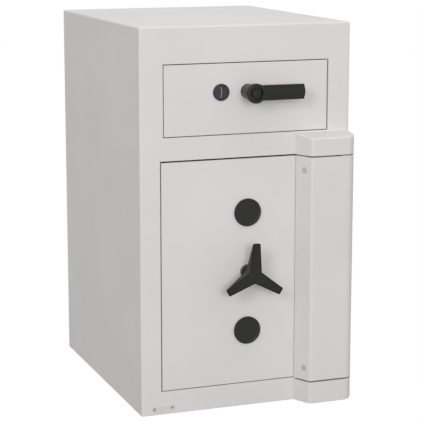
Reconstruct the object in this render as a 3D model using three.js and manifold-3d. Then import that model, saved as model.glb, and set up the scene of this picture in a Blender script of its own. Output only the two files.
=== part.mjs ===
// Free-standing drop safe with a deposit drawer above a hinged door.
// Millimetres, +Z up. The origin is on the floor under the middle of the cabinet, and the front faces -Y.
import * as THREE from 'three';
import { mergeVertices } from 'three/addons/utils/BufferGeometryUtils.js';
import Module from 'manifold-3d';

const wasm = await Module();
wasm.setup();

// Cabinet
const cabinetWidth = 560;
const cabinetDepth = 690;
const cabinetHeight = 975;
const edgeRound = 5;
const plateThickness = 4;
const frontPlateThickness = 8;
const wallDepth = 50;
const frontWallDepth = 65;
const linerThickness = 2;

// Drawer opening and deposit drawer
const drawerSideMargin = 62;
const drawerTopMargin = 92;
const drawerPanelHeight = 178;
const drawerSeam = 2;
const drawerTravel = 240;
const throatThickness = 2;

// Door opening
const headRailHeight = 57.5;
const doorLeftMargin = 52.3;
const doorFootMargin = 59;
const rightJambWidth = 104;
const doorSideSeam = 2.5;
const doorFootSeam = 2.5;
const doorTopSeam = 3.5;
const jambGap = 6;
const rebateGap = 2;
const lipReachLeft = 31.7;
const lipReachEnds = 25;
const rebateBar = 24;

// Hinge column
const noseRadius = 24;
const columnBackGap = 2;
const columnWidth = 144.4;
const columnSlope = 21.7;
const columnCornerRound = 5;
const coverThickness = 3;
const capHeight = 53.5;
const capFall = 9;
const hingeBarWidth = 28;
const hingeStrapThickness = 10;
const hingeStrapInset = 11.4;
const hingeStrapStep = 2;
const pinRadius = 8;
const pinClearance = 0.3;
const pinInBar = 32;
const pinInCap = 36;
const washerRadius = 13.5;
const washerThickness = 2.2;

// Door body
const panDepth = 52;
const panThickness = 2;
const panGapLeft = 10;
const panGapRight = 10;
const panGapEnds = 3;
const boltFrameInset = 11;
const boltFrameInsetEnds = 8;
const boltFrameDepth = 45;
const boltFrameWall = 4;
const innerCoverThickness = 2;

// Bolt work
const boltRadius = 11;
const boltClearance = 0.5;
const boltSetback = 22;
const boltPlaceShare = 0.7386;
const boltTipProud = 2;
const boltLength = 53;
const carriageWidth = 12;
const carriageThickness = 20;
const carriageOverhang = 20;
const dogReach = 30.5;
const dogSetback = 27;
const gearModule = 2.5;
const pressureAngle = Math.PI / 9;
const gearRootShare = 1.2;
const toothSlack = 0.35;
const boltPinionTeeth = 18;
const boltPinionWidth = 12;
const rackBarHeight = 12;
const rackBarWidth = 14;
const rackRunOut = 58;

// Door controls
const controlAxisX = 2;
const handleRise = 0.35;
const lockPlaceShare = 0.5936;
const escutcheonRadius = 32;
const escutcheonThickness = 2;
const coverRadius = 35.5;
const coverDepth = 4.2;
const coverRim = 5;
const coverChamfer = 1.6;
const coverDish = 0.8;
const coverPivotDrop = 25;
const coverPivotRadius = 3;
const coverPivotClearance = 0.4;
const coverPivotLength = 2.2;
const coverGap = 0.3;
const keyholeRadius = 4;
const keyholeLength = 14;
const collarRadius = 18.2;
const collarDepth = 4;
const collarChamfer = 1.2;
const spindleRadius = 7;
const spindleClearance = 0.6;
const handleReach = 83;
const handleStandoff = 60;
const handleLean = Math.PI / 72;
const spokeHubDepth = 25;
const spokeTipDepth = 3.2;
const spokeNotchReach = 18.8;
const spokeNotchRound = 2.5;
const spokeTipWidth = 18.6;
const spokeCount = 3;
const spokeBodyRadius = 17;
const hubRadius = 13;
const lockCaseWidth = 105;
const lockCaseHeight = 90;
const lockCaseDepth = 25;
const lockCaseCorner = 8;
const lockBoltWidth = 18;
const lockBoltHeight = 30;
const lockBoltReach = 10;
const lockBoltGap = 34;

// Drawer controls
const drawerAxisRise = 16;
const drawerLockOffset = 70.5;
const leverReach = 133;
const leverStandoff = 62;
const leverBarrelRadius = 17.8;
const leverBarrelFlare = 3.6;
const leverCapRadius = 24.4;
const leverCapDepth = 14;
const leverCapRecess = 5;
const leverCapRim = 9;
const leverCapChamfer = 2.5;
const leverBarHubHeight = 38;
const leverBarTipHeight = 37;
const leverTipBulge = 2.5;
const leverBarDepth = 12;
const leverBarCrown = 4;
const leverBarRim = 1.6;
const roseRadius = 18.4;
const roseDepth = 2;
const leverSpindleRadius = 6;
const leverSpindleClearance = 0.5;
const camReach = 115;
const camWidth = 20;
const camThickness = 5;
const camSetback = 6;
const keeperThickness = 3;
const keeperWidth = 80;
const keeperHeight = 15;
const keeperOffset = 18;
const camSideGap = 2;
const camSlotWidth = 66;
const camSlotDepth = 15;
const camSlotDrop = 13;
const lockFlangeRadius = 21.25;
const lockFlangeDepth = 3.5;
const lockBarrelRadius = 19;
const lockBarrelLength = 26;
const plugRadius = 17;
const plugClearance = 0.35;
const plugRecess = 0.6;
const keywayHeight = 28;
const keywayWidth = 3.2;
const keywaySway = 1.6;
const keywayDepth = 9;
const lockCamLength = 28;
const lockCamWidth = 12;
const lockCamThickness = 3;

// Drawer box and its runners
const drawerSideInset = 20;
const drawerBottomLift = 10;
const drawerTopDrop = 15;
const sheetThickness = 2;
const drawerLockSpace = 32;
const drawerBoxDepth = 218;
const drawerArmLength = 183;
const drawerArmHeight = 22;
const drawerSideFlange = 10;
const rearWallLift = 2.5;
const railHeight = 12;
const railWidth = 12;
const railFrontGap = 12;
const runnerClearance = 0.4;
const runnerFlange = 3;
const runnerWeb = 4;
const runnerMouthGap = 2;
const runnerLength = 373;

// Travelling floor of the drawer and its rack and pinion drive
const floorThickness = 3;
const floorClearance = 0.4;
const floorSideGap = 4;
const floorFrontGap = 2.5;
const floorRackWidth = 10;
const floorRackHeight = 9.4;
const floorTieLength = 10;
const drivePinionTeeth = 12;
const drivePinionWidth = 8;
const driveShaftRadius = 5;
const driveShaftClearance = 0.4;
const driveShaftTrail = 86;
const driveHangerWidth = 26;
const driveHangerDrop = 12;
const rackLeadIn = 20;

// Inside of the cabinet
const shelfThickness = 4;
const fixedRackHeight = 11;
const chuteSideMargin = 11;
const chuteFrontMargin = 25;
const chuteBackLead = 15;
const bafflePlate = 2;
const baffleFlange = 20;
const baffleRun = 126;
const baffleDrop = 65;
const storageShelfHeight = 280;
const storageShelfFrontGap = 40;
const storageShelfBackGap = 10;
const storageShelfSideGap = 3;
const shelfLedgeWidth = 12;
const shelfLedgeHeight = 12;
const anchorRadius = 8;
const anchorInsetX = 80;
const anchorInsetY = 95;

// Making values
const cutOverrun = 5;
const weldDistance = 0.0001;
const arcSteps = 6;
const roundSides = 32;
const smallSides = 16;

// Places worked out from the sizes above
const right = cabinetWidth / 2;
const left = -right;
const front = -cabinetDepth / 2;
const back = cabinetDepth / 2;
const frontPlateBack = front + frontPlateThickness;
const frontWallBack = front + frontWallDepth;
const innerFront = frontWallBack + linerThickness;
const innerRight = right - wallDepth;
const innerBack = back - wallDepth;
const innerFloor = wallDepth + linerThickness;
const innerTop = cabinetHeight - wallDepth;

const drawerHalf = right - drawerSideMargin;
const drawerTop = cabinetHeight - drawerTopMargin;
const drawerBottom = drawerTop - drawerPanelHeight;
const throatHalf = drawerHalf + drawerSeam;
const throatTop = drawerTop + drawerSeam;
const throatBottom = drawerBottom - drawerSeam;

const windowLeft = left + doorLeftMargin;
const windowRight = right - rightJambWidth;
const windowBottom = doorFootMargin;
const windowTop = throatBottom - headRailHeight;
const doorLeft = windowLeft + doorSideSeam;
const doorRight = windowRight - jambGap;
const doorBottom = windowBottom + doorFootSeam;
const doorTop = windowTop - doorTopSeam;
const lipLeft = windowLeft + lipReachLeft;
const lipBottom = windowBottom + lipReachEnds;
const lipTop = windowTop - lipReachEnds;

const hingeX = right - noseRadius;
const columnDepth = columnBackGap + 2 * noseRadius;
const hingeY = front - columnBackGap - noseRadius;
const columnFront = front - columnDepth;
const columnLeft = right - columnWidth;

const panLeft = lipLeft + panGapLeft;
const panRight = windowRight - panGapRight;
const panBottom = lipBottom + panGapEnds;
const panTop = lipTop - panGapEnds;
const panBack = frontPlateBack + panDepth;
const frameLeft = panLeft + boltFrameInset;
const frameRight = panRight - boltFrameInset;
const frameBottom = panBottom + boltFrameInsetEnds;
const frameTop = panTop - boltFrameInsetEnds;
const frameBack = panBack + boltFrameDepth;
const boltY = panBack + boltSetback;
const handleZ = (doorBottom + doorTop) / 2 + handleRise;
const frameHalfHeight = (frameTop - frameBottom) / 2;
const boltSpacing = boltPlaceShare * frameHalfHeight;
const lockSpacing = lockPlaceShare * frameHalfHeight;
const boltHeights = [handleZ - boltSpacing, handleZ, handleZ + boltSpacing];
const lockHeights = [handleZ - lockSpacing, handleZ + lockSpacing];
const carriageLeft = frameLeft - boltTipProud + boltLength;
const lockCaseLeft = carriageLeft + carriageWidth + lockBoltGap + lockBoltReach;
const boltPinionRadius = gearModule * boltPinionTeeth / 2;

const drawerAxisZ = (drawerBottom + drawerTop) / 2 + drawerAxisRise;
const drawerLockX = controlAxisX - drawerLockOffset;
const sideOuter = throatHalf - drawerSideInset + sheetThickness;
const sideInner = sideOuter - sheetThickness;
const boxBottom = throatBottom + drawerBottomLift;
const boxTop = throatTop - drawerTopDrop;
const innerWallFront = frontPlateBack + drawerLockSpace;
const boxFront = innerWallFront + sheetThickness;
const boxBack = boxFront + drawerBoxDepth;
const armBack = boxBack + drawerArmLength;
const railZ = boxBottom + drawerArmHeight / 2;
const floorUnder = boxBottom + sheetThickness + floorClearance;
const floorOver = floorUnder + floorThickness;
const floorFront = boxFront + drawerTravel + floorFrontGap;
const floorBack = floorFront + drawerBoxDepth;
const floorHalf = sideInner - floorSideGap;
const floorRackOuter = floorHalf - drawerSideFlange;
const rackTipZ = floorUnder - floorRackHeight;
const drivePinionRadius = gearModule * drivePinionTeeth / 2;
const driveShaftZ = rackTipZ + gearModule - drivePinionRadius;
const driveShaftY = boxBack + driveShaftTrail;
const fixedRackTip = driveShaftZ - drivePinionRadius + gearModule;
const shelfTop = fixedRackTip - fixedRackHeight;
const shelfBottom = shelfTop - shelfThickness;
const chuteHalf = floorRackOuter - floorRackWidth - chuteSideMargin;
const chuteFront = frontWallBack + chuteFrontMargin;
const chuteBack = boxBack - chuteBackLead;

// Turns a closed geometry into a solid that can be cut and joined.
function solidOf(geometry) {
  geometry.deleteAttribute('normal');
  geometry.deleteAttribute('uv');
  const merged = mergeVertices(geometry, weldDistance);
  const corners = Array.from(merged.index.array);
  const kept = [];
  for (let i = 0; i < corners.length; i += 3) {
    const [a, b, c] = corners.slice(i, i + 3);
    if (a !== b && b !== c && c !== a) kept.push(a, b, c);
  }
  return new wasm.Manifold(new wasm.Mesh({
    numProp: 3,
    vertProperties: merged.attributes.position.array,
    triVerts: new Uint32Array(kept),
  }));
}

// A rectangular block between two corners.
function block(x0, x1, y0, y1, z0, z1) {
  const geometry = new THREE.BoxGeometry(x1 - x0, y1 - y0, z1 - z0);
  geometry.translate((x0 + x1) / 2, (y0 + y1) / 2, (z0 + z1) / 2);
  return solidOf(geometry);
}

// The axes that an outline drawn in two directions takes when it is pushed along the third.
const pushAxes = {
  x: new THREE.Matrix4().set(0, 0, 1, 0, 1, 0, 0, 0, 0, 1, 0, 0, 0, 0, 0, 1),
  y: new THREE.Matrix4().set(1, 0, 0, 0, 0, 0, -1, 0, 0, 1, 0, 0, 0, 0, 0, 1),
  z: new THREE.Matrix4(),
};

// An outline pushed from one place to another: (y, z) outlines along x, (x, z) along y, (x, y) along z.
function prism(axis, outline, from, to) {
  const shape = outline instanceof THREE.Shape ? outline : new THREE.Shape(outline);
  const geometry = new THREE.ExtrudeGeometry(shape, {
    depth: to - from,
    bevelEnabled: false,
    curveSegments: arcSteps,
  });
  geometry.translate(0, 0, axis === 'y' ? -to : from);
  geometry.applyMatrix4(pushAxes[axis]);
  return solidOf(geometry);
}

// The corners of an arc, first and last included.
function arc(u, v, radius, startAngle, endAngle, steps) {
  const points = [];
  for (let i = 0; i <= steps; i += 1) {
    const angle = startAngle + (endAngle - startAngle) * i / steps;
    points.push(new THREE.Vector2(u + radius * Math.cos(angle), v + radius * Math.sin(angle)));
  }
  return points;
}

// A round bar across the given axis, with its middle at (u, v) in the other two directions.
function rod(axis, u, v, radius, from, to, sides = roundSides) {
  const ring = arc(u, v, radius, 0, 2 * Math.PI, sides);
  ring.pop();
  return prism(axis, ring, from, to);
}

// A rectangle with four round corners, as an outline.
function roundedRectangle(u0, u1, v0, v1, radius) {
  const quarter = Math.PI / 2;
  return [
    ...arc(u1 - radius, v0 + radius, radius, -quarter, 0, arcSteps),
    ...arc(u1 - radius, v1 - radius, radius, 0, quarter, arcSteps),
    ...arc(u0 + radius, v1 - radius, radius, quarter, 2 * quarter, arcSteps),
    ...arc(u0 + radius, v0 + radius, radius, 2 * quarter, 3 * quarter, arcSteps),
  ];
}

// A profile of [radius, distance] pairs turned about an axis that points to -Y through (x, z).
// The distances are measured forwards from the plane y.
function turned(profile, x, y, z, sides = roundSides) {
  const points = profile.map(([radius, distance]) => new THREE.Vector2(radius, distance));
  const geometry = new THREE.LatheGeometry(points, sides);
  geometry.rotateX(Math.PI);
  geometry.translate(x, y, z);
  return solidOf(geometry);
}

function join(solids) {
  return solids.reduce((whole, next) => whole.add(next));
}

function cut(solid, tools) {
  return tools.reduce((rest, tool) => rest.subtract(tool), solid);
}

// Finishes, one function for each, so that every piece has a material of its own.
const finishes = {
  paint: () => new THREE.MeshStandardMaterial({ color: 0xd2d1ce, roughness: 0.55, metalness: 0.1 }),
  charcoal: () => new THREE.MeshStandardMaterial({ color: 0x383735, roughness: 0.45, metalness: 0.2 }),
  steel: () => new THREE.MeshStandardMaterial({ color: 0xa7a8aa, roughness: 0.35, metalness: 0.9 }),
  zinc: () => new THREE.MeshStandardMaterial({ color: 0xb9b7ae, roughness: 0.5, metalness: 0.7 }),
  brass: () => new THREE.MeshStandardMaterial({ color: 0xb59a58, roughness: 0.4, metalness: 0.9 }),
  filling: () => new THREE.MeshStandardMaterial({ color: 0x8f8c86, roughness: 0.95, metalness: 0 }),
};

// Makes a named mesh from a solid and hangs it in a group.
function addPiece(group, name, solid, finish) {
  const made = solid.getMesh();
  const geometry = new THREE.BufferGeometry();
  geometry.setAttribute('position', new THREE.BufferAttribute(new Float32Array(made.vertProperties), 3));
  geometry.setIndex(Array.from(made.triVerts));
  const faceted = geometry.toNonIndexed();
  faceted.computeVertexNormals();
  const mesh = new THREE.Mesh(faceted, finishes[finish]());
  mesh.name = name;
  group.add(mesh);
  return mesh;
}

// The rounded block that the outer plates are cut from, so that their edges run on from plate to plate.
function cabinetBlock() {
  const plan = roundedRectangle(left, right, front, back, edgeRound);
  const face = roundedRectangle(left, right, -edgeRound, cabinetHeight, edgeRound);
  const side = roundedRectangle(front, back, -edgeRound, cabinetHeight, edgeRound);
  return prism('z', plan, 0, cabinetHeight)
    .intersect(prism('y', face, front, back))
    .intersect(prism('x', side, left, right));
}

function anchorHoles(radius, from, to) {
  const holes = [];
  for (const x of [left + anchorInsetX, right - anchorInsetX]) {
    for (const y of [front + anchorInsetY, back - anchorInsetY]) {
      holes.push(rod('z', x, y, radius, from, to, smallSides));
    }
  }
  return holes;
}

function doorWindow(from, to) {
  return block(windowLeft, windowRight, from, to, windowBottom, windowTop);
}

function drawerWindow(from, to) {
  return block(-throatHalf, throatHalf, from, to, throatBottom, throatTop);
}

function addOuterPlates(group) {
  const whole = cabinetBlock();
  const inset = right - plateThickness;
  const underTop = cabinetHeight - plateThickness;
  const rearFront = back - plateThickness;
  const leftSide = whole.intersect(block(left, -inset, front, back, 0, cabinetHeight));
  const rightSide = whole.intersect(block(inset, right, front, back, 0, cabinetHeight));
  const top = whole.intersect(block(-inset, inset, front, back, underTop, cabinetHeight));
  const base = block(-inset, inset, frontPlateBack, rearFront, 0, plateThickness);
  const rear = whole.intersect(block(-inset, inset, rearFront, back, 0, underTop));
  const face = whole.intersect(block(-inset, inset, front, frontPlateBack, 0, underTop));
  const windows = [
    doorWindow(front - cutOverrun, frontPlateBack + cutOverrun),
    drawerWindow(front - cutOverrun, frontPlateBack + cutOverrun),
  ];
  addPiece(group, 'left_side_panel', leftSide, 'paint');
  addPiece(group, 'right_side_panel', rightSide, 'paint');
  addPiece(group, 'top_panel', top, 'paint');
  addPiece(group, 'base_panel', cut(base, anchorHoles(anchorRadius, -cutOverrun, wallDepth)), 'paint');
  addPiece(group, 'back_panel', rear, 'paint');
  addPiece(group, 'front_frame', cut(face, windows), 'paint');
}

// The outside of the sleeve round the drawer opening, run on past its back end by the overrun.
function throatOuter(overrun) {
  const t = throatThickness;
  return block(
    -throatHalf - t, throatHalf + t, frontPlateBack, frontWallBack + overrun,
    throatBottom - t, throatTop + t,
  );
}

// The outside of the frame of bars round the doorway, run on past its back end by the overrun.
function rebateOuter(overrun) {
  const bar = rebateBar;
  return block(
    windowLeft - bar, windowRight + bar, frontPlateBack, frontWallBack + overrun,
    windowBottom - bar, windowTop + bar,
  );
}

function doorway(from, to) {
  return block(lipLeft, windowRight, from, to, lipBottom, lipTop);
}

// The pocket under the drawer opening that the latch cam turns into, grown by the thickness of its walls.
function camPocket(wall) {
  const x0 = controlAxisX - camWidth / 2 - camSideGap;
  const bottom = throatBottom - throatThickness - camSlotDrop;
  return block(
    x0 - wall, x0 + camSlotWidth + wall, frontPlateBack, frontPlateBack + camSlotDepth + wall,
    bottom - wall, throatBottom,
  );
}

// The bar that the latch cam catches behind. The rise carries it up into the sleeve above it.
function keeperSolid(rise) {
  const x0 = controlAxisX + keeperOffset - keeperWidth / 2;
  const top = throatBottom - throatThickness;
  return block(
    x0, x0 + keeperWidth, frontPlateBack, frontPlateBack + keeperThickness,
    top - keeperHeight, top + rise,
  );
}

function addBarrierFill(group) {
  const t = plateThickness;
  const mass = block(left + t, right - t, frontPlateBack, back - t, t, cabinetHeight - t);
  const liner = linerThickness;
  const cavity = block(
    -innerRight - liner, innerRight + liner, frontWallBack, innerBack + liner,
    wallDepth, innerTop + liner,
  );
  const tools = [
    cavity, throatOuter(cutOverrun), rebateOuter(cutOverrun), camPocket(throatThickness),
    keeperSolid(throatThickness),
  ];
  const holes = anchorHoles(anchorRadius, 0, wallDepth + cutOverrun);
  addPiece(group, 'barrier_fill', cut(mass, [...tools, ...holes]), 'filling');
}

function addLiner(group) {
  const t = linerThickness;
  const outer = block(-innerRight - t, innerRight + t, innerFront, innerBack + t, wallDepth, innerTop + t);
  const inner = block(
    -innerRight, innerRight, innerFront - cutOverrun, innerBack, innerFloor, innerTop,
  );
  const holes = anchorHoles(anchorRadius, wallDepth - cutOverrun, innerFloor + cutOverrun);
  const ledgeTop = innerFloor + storageShelfHeight;
  const ledgeFront = frameBack + storageShelfFrontGap;
  const ledges = [-innerRight, innerRight - shelfLedgeWidth].map((x) => block(
    x, x + shelfLedgeWidth, ledgeFront, innerBack, ledgeTop - shelfLedgeHeight, ledgeTop,
  ));
  addPiece(group, 'inner_liner', join([cut(outer, [inner, ...holes]), ...ledges]), 'paint');
  const sheet = block(
    -innerRight - t, innerRight + t, frontWallBack, innerFront, wallDepth, innerTop + t,
  );
  const from = frontWallBack - cutOverrun;
  const to = innerFront + cutOverrun;
  const windows = [doorway(from, to), drawerWindow(from, to)];
  addPiece(group, 'inner_front_panel', cut(sheet, windows), 'paint');
}

function addOpeningFrames(group) {
  const step = doorWindow(frontPlateBack - cutOverrun, frontPlateBack + rebateGap);
  const passage = doorway(frontPlateBack - cutOverrun, frontWallBack + cutOverrun);
  addPiece(group, 'door_rebate', cut(rebateOuter(0), [step, passage]), 'paint');
  const tunnel = drawerWindow(frontPlateBack - cutOverrun, frontWallBack + cutOverrun);
  const sleeve = throatOuter(0).add(camPocket(throatThickness));
  addPiece(group, 'drawer_throat', cut(sleeve, [tunnel, camPocket(0), keeperSolid(0)]), 'paint');
  addPiece(group, 'latch_keeper', keeperSolid(0), 'steel');
}

// The plan of the hinge column, drawn smaller by the inset. The column leans in from the door's face, runs
// flat across its front and ends in a round nose about the hinge axis.
function columnPlan(inset, squareSide) {
  const tilt = Math.hypot(columnSlope, columnDepth);
  const shift = inset * tilt / columnDepth;
  const flat = columnFront + inset;
  const rise = columnDepth - inset;
  const cornerX = columnLeft + shift + columnSlope * rise / columnDepth;
  const round = Math.max(columnCornerRound - inset, columnCornerRound / 2);
  const along = new THREE.Vector2(-columnSlope, columnDepth).multiplyScalar(round / tilt);
  const outline = new THREE.Shape();
  outline.moveTo(columnLeft + shift, front);
  outline.lineTo(cornerX + along.x, flat + along.y);
  outline.quadraticCurveTo(cornerX, flat, cornerX + round, flat);
  outline.lineTo(hingeX, flat);
  if (squareSide) {
    outline.absarc(hingeX, hingeY, noseRadius - inset, -Math.PI / 2, 0, false);
    outline.lineTo(right - inset, front);
  } else {
    outline.absarc(hingeX, hingeY, noseRadius - inset, -Math.PI / 2, Math.PI / 2, false);
    outline.lineTo(doorRight + hingeStrapStep, front - columnBackGap - inset);
    outline.lineTo(doorRight + hingeStrapStep, front);
  }
  outline.closePath();
  return outline;
}

// Everything behind the sheet of the column cover, open to the back.
function columnHollow(bottom, top) {
  const behind = block(
    columnLeft + columnDepth, hingeX, front - columnDepth / 2, front + cutOverrun, bottom, top,
  );
  const foot = coverThickness * Math.hypot(columnSlope, columnDepth) / columnDepth;
  const wedge = prism('z', [
    new THREE.Vector2(columnLeft + foot, front),
    new THREE.Vector2(columnLeft + foot + columnSlope / 2, front - columnDepth / 2),
    new THREE.Vector2(columnLeft + columnDepth + cutOverrun, front - columnDepth / 2),
    new THREE.Vector2(columnLeft + columnDepth + cutOverrun, front + cutOverrun),
    new THREE.Vector2(columnLeft + foot, front + cutOverrun),
  ], bottom, top);
  return join([prism('z', columnPlan(coverThickness, false), bottom, top), behind, wedge]);
}

function hingePinHole(from, to) {
  return rod('z', hingeX, hingeY, pinRadius + pinClearance, from, to);
}

function addHingeCaps(group) {
  const top = windowTop + capHeight;
  const upper = prism('z', columnPlan(0, true), windowTop, top);
  const slope = prism('x', [
    new THREE.Vector2(front, top),
    new THREE.Vector2(columnFront, top - capFall),
    new THREE.Vector2(columnFront - cutOverrun, top - capFall),
    new THREE.Vector2(columnFront - cutOverrun, top + cutOverrun),
    new THREE.Vector2(front, top + cutOverrun),
  ], columnLeft - cutOverrun, right + cutOverrun);
  const upperHole = hingePinHole(windowTop - cutOverrun, windowTop + pinInCap);
  addPiece(group, 'upper_hinge_cap', cut(upper, [slope, upperHole]), 'paint');
  const lower = prism('z', columnPlan(0, true), 0, windowBottom);
  const lowerHole = hingePinHole(windowBottom - pinInCap, windowBottom + cutOverrun);
  addPiece(group, 'lower_hinge_cap', cut(lower, [lowerHole]), 'paint');
}

function addHingePins(group) {
  const inBar = pinInBar - pinClearance;
  const inCap = pinInCap - pinClearance;
  const upper = rod('z', hingeX, hingeY, pinRadius, doorTop - inBar, windowTop + inCap);
  const lower = rod('z', hingeX, hingeY, pinRadius, windowBottom - inCap, doorBottom + inBar);
  addPiece(group, 'upper_hinge_pin', upper, 'steel');
  addPiece(group, 'lower_hinge_pin', lower, 'steel');
  const ring = rod('z', hingeX, hingeY, washerRadius, windowBottom, windowBottom + washerThickness);
  const hole = hingePinHole(windowBottom - cutOverrun, windowBottom + cutOverrun);
  addPiece(group, 'thrust_washer', cut(ring, [hole]), 'brass');
}

// A spindle or key hole through the door, from its face to the bolt work.
function doorHole(z, radius, from, to) {
  return rod('y', controlAxisX, z, radius, from, to, smallSides);
}

function doorHoles(from, to) {
  const spindle = doorHole(handleZ, spindleRadius + spindleClearance, from, to);
  const keys = lockHeights.map((z) => doorHole(z, keyholeLength / 2, from, to));
  return [spindle, ...keys];
}

function addDoorShell(group) {
  const plate = block(doorLeft, doorRight, front, frontPlateBack, doorBottom, doorTop);
  const plateHoles = doorHoles(front - cutOverrun, frontPlateBack + cutOverrun);
  addPiece(group, 'door_plate', cut(plate, plateHoles), 'paint');

  const column = prism('z', columnPlan(0, false), doorBottom, doorTop);
  const hollow = columnHollow(doorBottom - cutOverrun, doorTop + cutOverrun);
  addPiece(group, 'hinge_column_cover', cut(column, [hollow]), 'paint');

  const t = panThickness;
  const pan = block(panLeft, panRight, frontPlateBack, panBack, panBottom, panTop);
  const fill = block(panLeft + t, panRight - t, frontPlateBack, panBack - t, panBottom + t, panTop - t);
  const through = doorHoles(frontPlateBack - cutOverrun, panBack + cutOverrun);
  addPiece(group, 'door_fill', cut(fill, through), 'filling');
  addPiece(group, 'door_pan', cut(pan, [fill, ...through]), 'paint');
}

function addHingeBar(group) {
  const half = hingeBarWidth / 2;
  const bar = block(hingeX - half, hingeX + half, hingeY - half, hingeY + half, doorBottom, doorTop);
  const strapBack = front - hingeStrapStep;
  const strapFront = hingeY + half - pinClearance;
  const strap = prism('z', [
    new THREE.Vector2(columnLeft + hingeStrapInset, strapBack - hingeStrapThickness),
    new THREE.Vector2(hingeX - pinClearance, strapFront - pinClearance),
    new THREE.Vector2(hingeX - pinClearance, strapBack),
    new THREE.Vector2(doorRight, strapBack),
    new THREE.Vector2(doorRight, front),
    new THREE.Vector2(columnLeft + hingeStrapInset, front),
  ], doorBottom, doorTop);
  const bores = [
    hingePinHole(doorBottom - cutOverrun, doorBottom + pinInBar),
    hingePinHole(doorTop - pinInBar, doorTop + cutOverrun),
  ];
  addPiece(group, 'hinge_bar', cut(join([bar, strap]), bores), 'steel');
}

function addBoltFrame(group) {
  const w = boltFrameWall;
  const outer = block(frameLeft, frameRight, panBack, frameBack, frameBottom, frameTop);
  const inner = block(
    frameLeft + w, frameRight - w, panBack - cutOverrun, frameBack + cutOverrun,
    frameBottom + w, frameTop - w,
  );
  const holes = boltHeights.map((z) => rod(
    'x', boltY, z, boltRadius + boltClearance, frameLeft - cutOverrun, frameLeft + w + cutOverrun,
  ));
  const dogs = boltHeights.map((z) => rod(
    'x', panBack + dogSetback, z, boltRadius, frameRight, frameRight + dogReach, smallSides,
  ));
  addPiece(group, 'bolt_frame', join([cut(outer, [inner, ...holes]), ...dogs]), 'zinc');
  const cover = block(
    frameLeft, frameRight, frameBack, frameBack + innerCoverThickness, frameBottom, frameTop,
  );
  addPiece(group, 'door_inner_cover', cover, 'paint');
}

function addLockCases(group) {
  const names = ['lower_lock_case', 'upper_lock_case'];
  lockHeights.forEach((z, i) => {
    const halfHeight = lockCaseHeight / 2;
    const shell = prism('y', roundedRectangle(
      lockCaseLeft, lockCaseLeft + lockCaseWidth, z - halfHeight, z + halfHeight, lockCaseCorner,
    ), panBack, panBack + lockCaseDepth);
    const bolt = block(
      lockCaseLeft - lockBoltReach, lockCaseLeft + lockCaseCorner,
      panBack + (lockCaseDepth - lockBoltWidth) / 2, panBack + (lockCaseDepth + lockBoltWidth) / 2,
      z - lockBoltHeight / 2, z + lockBoltHeight / 2,
    );
    addPiece(group, names[i], shell.add(bolt), 'zinc');
  });
}

function coverPivotZ(z) {
  return z + coverPivotDrop;
}

function addEscutcheons(group) {
  const names = ['lower_escutcheon', 'upper_escutcheon'];
  lockHeights.forEach((z, i) => {
    const plate = rod('y', controlAxisX, z, escutcheonRadius, front - escutcheonThickness, front);
    const from = front - escutcheonThickness - cutOverrun;
    const slot = keyholeLength - keyholeRadius;
    const keyhole = join([
      rod('y', controlAxisX, z, keyholeRadius, from, front + cutOverrun, smallSides),
      block(
        controlAxisX - keyholeRadius / 2, controlAxisX + keyholeRadius / 2,
        from, front + cutOverrun, z - slot, z,
      ),
    ]);
    const stud = rod(
      'y', controlAxisX, coverPivotZ(z), coverPivotRadius,
      front - escutcheonThickness - coverPivotLength, front - escutcheonThickness, smallSides,
    );
    addPiece(group, names[i], cut(plate, [keyhole]).add(stud), 'charcoal');
  });
}

function addHandleCollar(group) {
  const bore = spindleRadius + spindleClearance;
  const ring = turned([
    [bore, 0],
    [collarRadius, 0],
    [collarRadius, collarDepth - collarChamfer],
    [collarRadius - collarChamfer, collarDepth],
    [bore, collarDepth],
    [bore, 0],
  ], controlAxisX, front, handleZ);
  addPiece(group, 'handle_collar', ring, 'charcoal');
}

// A dished disc with a raised rim, which hides the keyhole and turns about a stud near its top.
function addKeyholeCover(group, name, z) {
  const y = front - escutcheonThickness - coverGap;
  const disc = turned([
    [0, 0],
    [coverRadius, 0],
    [coverRadius, coverDepth - coverChamfer],
    [coverRadius - coverChamfer, coverDepth],
    [coverRadius - coverRim, coverDepth],
    [coverRadius - coverRim - coverDish, coverDepth - coverDish],
    [coverRadius / 2, coverDepth - coverDish / 2],
    [0, coverDepth],
  ], controlAxisX, y, z);
  const bore = rod(
    'y', controlAxisX, coverPivotZ(z), coverPivotRadius + coverPivotClearance,
    front - escutcheonThickness - coverPivotLength - coverGap, front, smallSides,
  );
  addPiece(group, name, cut(disc, [bore]), 'charcoal');
}

// The outline of the spoked handle: straight arms that narrow to blunt tips and meet in small notches.
// The handle leans a little clockwise at rest.
function spokeOutline() {
  const outline = new THREE.Shape();
  const polar = (radius, angle, across) => new THREE.Vector2(
    controlAxisX + radius * Math.cos(angle) - across * Math.sin(angle),
    handleZ + radius * Math.sin(angle) + across * Math.cos(angle),
  );
  const turn = 2 * Math.PI / spokeCount;
  const halfTip = spokeTipWidth / 2;
  for (let i = 0; i < spokeCount; i += 1) {
    const angle = Math.PI / 2 - handleLean + i * turn;
    const tipRight = polar(handleReach, angle, -halfTip);
    const tipLeft = polar(handleReach, angle, halfTip);
    const nextTip = polar(handleReach, angle + turn, -halfTip);
    const notch = polar(spokeNotchReach, angle + turn / 2, 0);
    const roundStart = tipLeft.clone().sub(notch).setLength(spokeNotchRound).add(notch);
    const roundEnd = nextTip.clone().sub(notch).setLength(spokeNotchRound).add(notch);
    if (i === 0) outline.moveTo(tipRight.x, tipRight.y);
    else outline.lineTo(tipRight.x, tipRight.y);
    outline.lineTo(tipLeft.x, tipLeft.y);
    outline.lineTo(roundStart.x, roundStart.y);
    outline.quadraticCurveTo(notch.x, notch.y, roundEnd.x, roundEnd.y);
  }
  outline.closePath();
  return outline;
}

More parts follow.
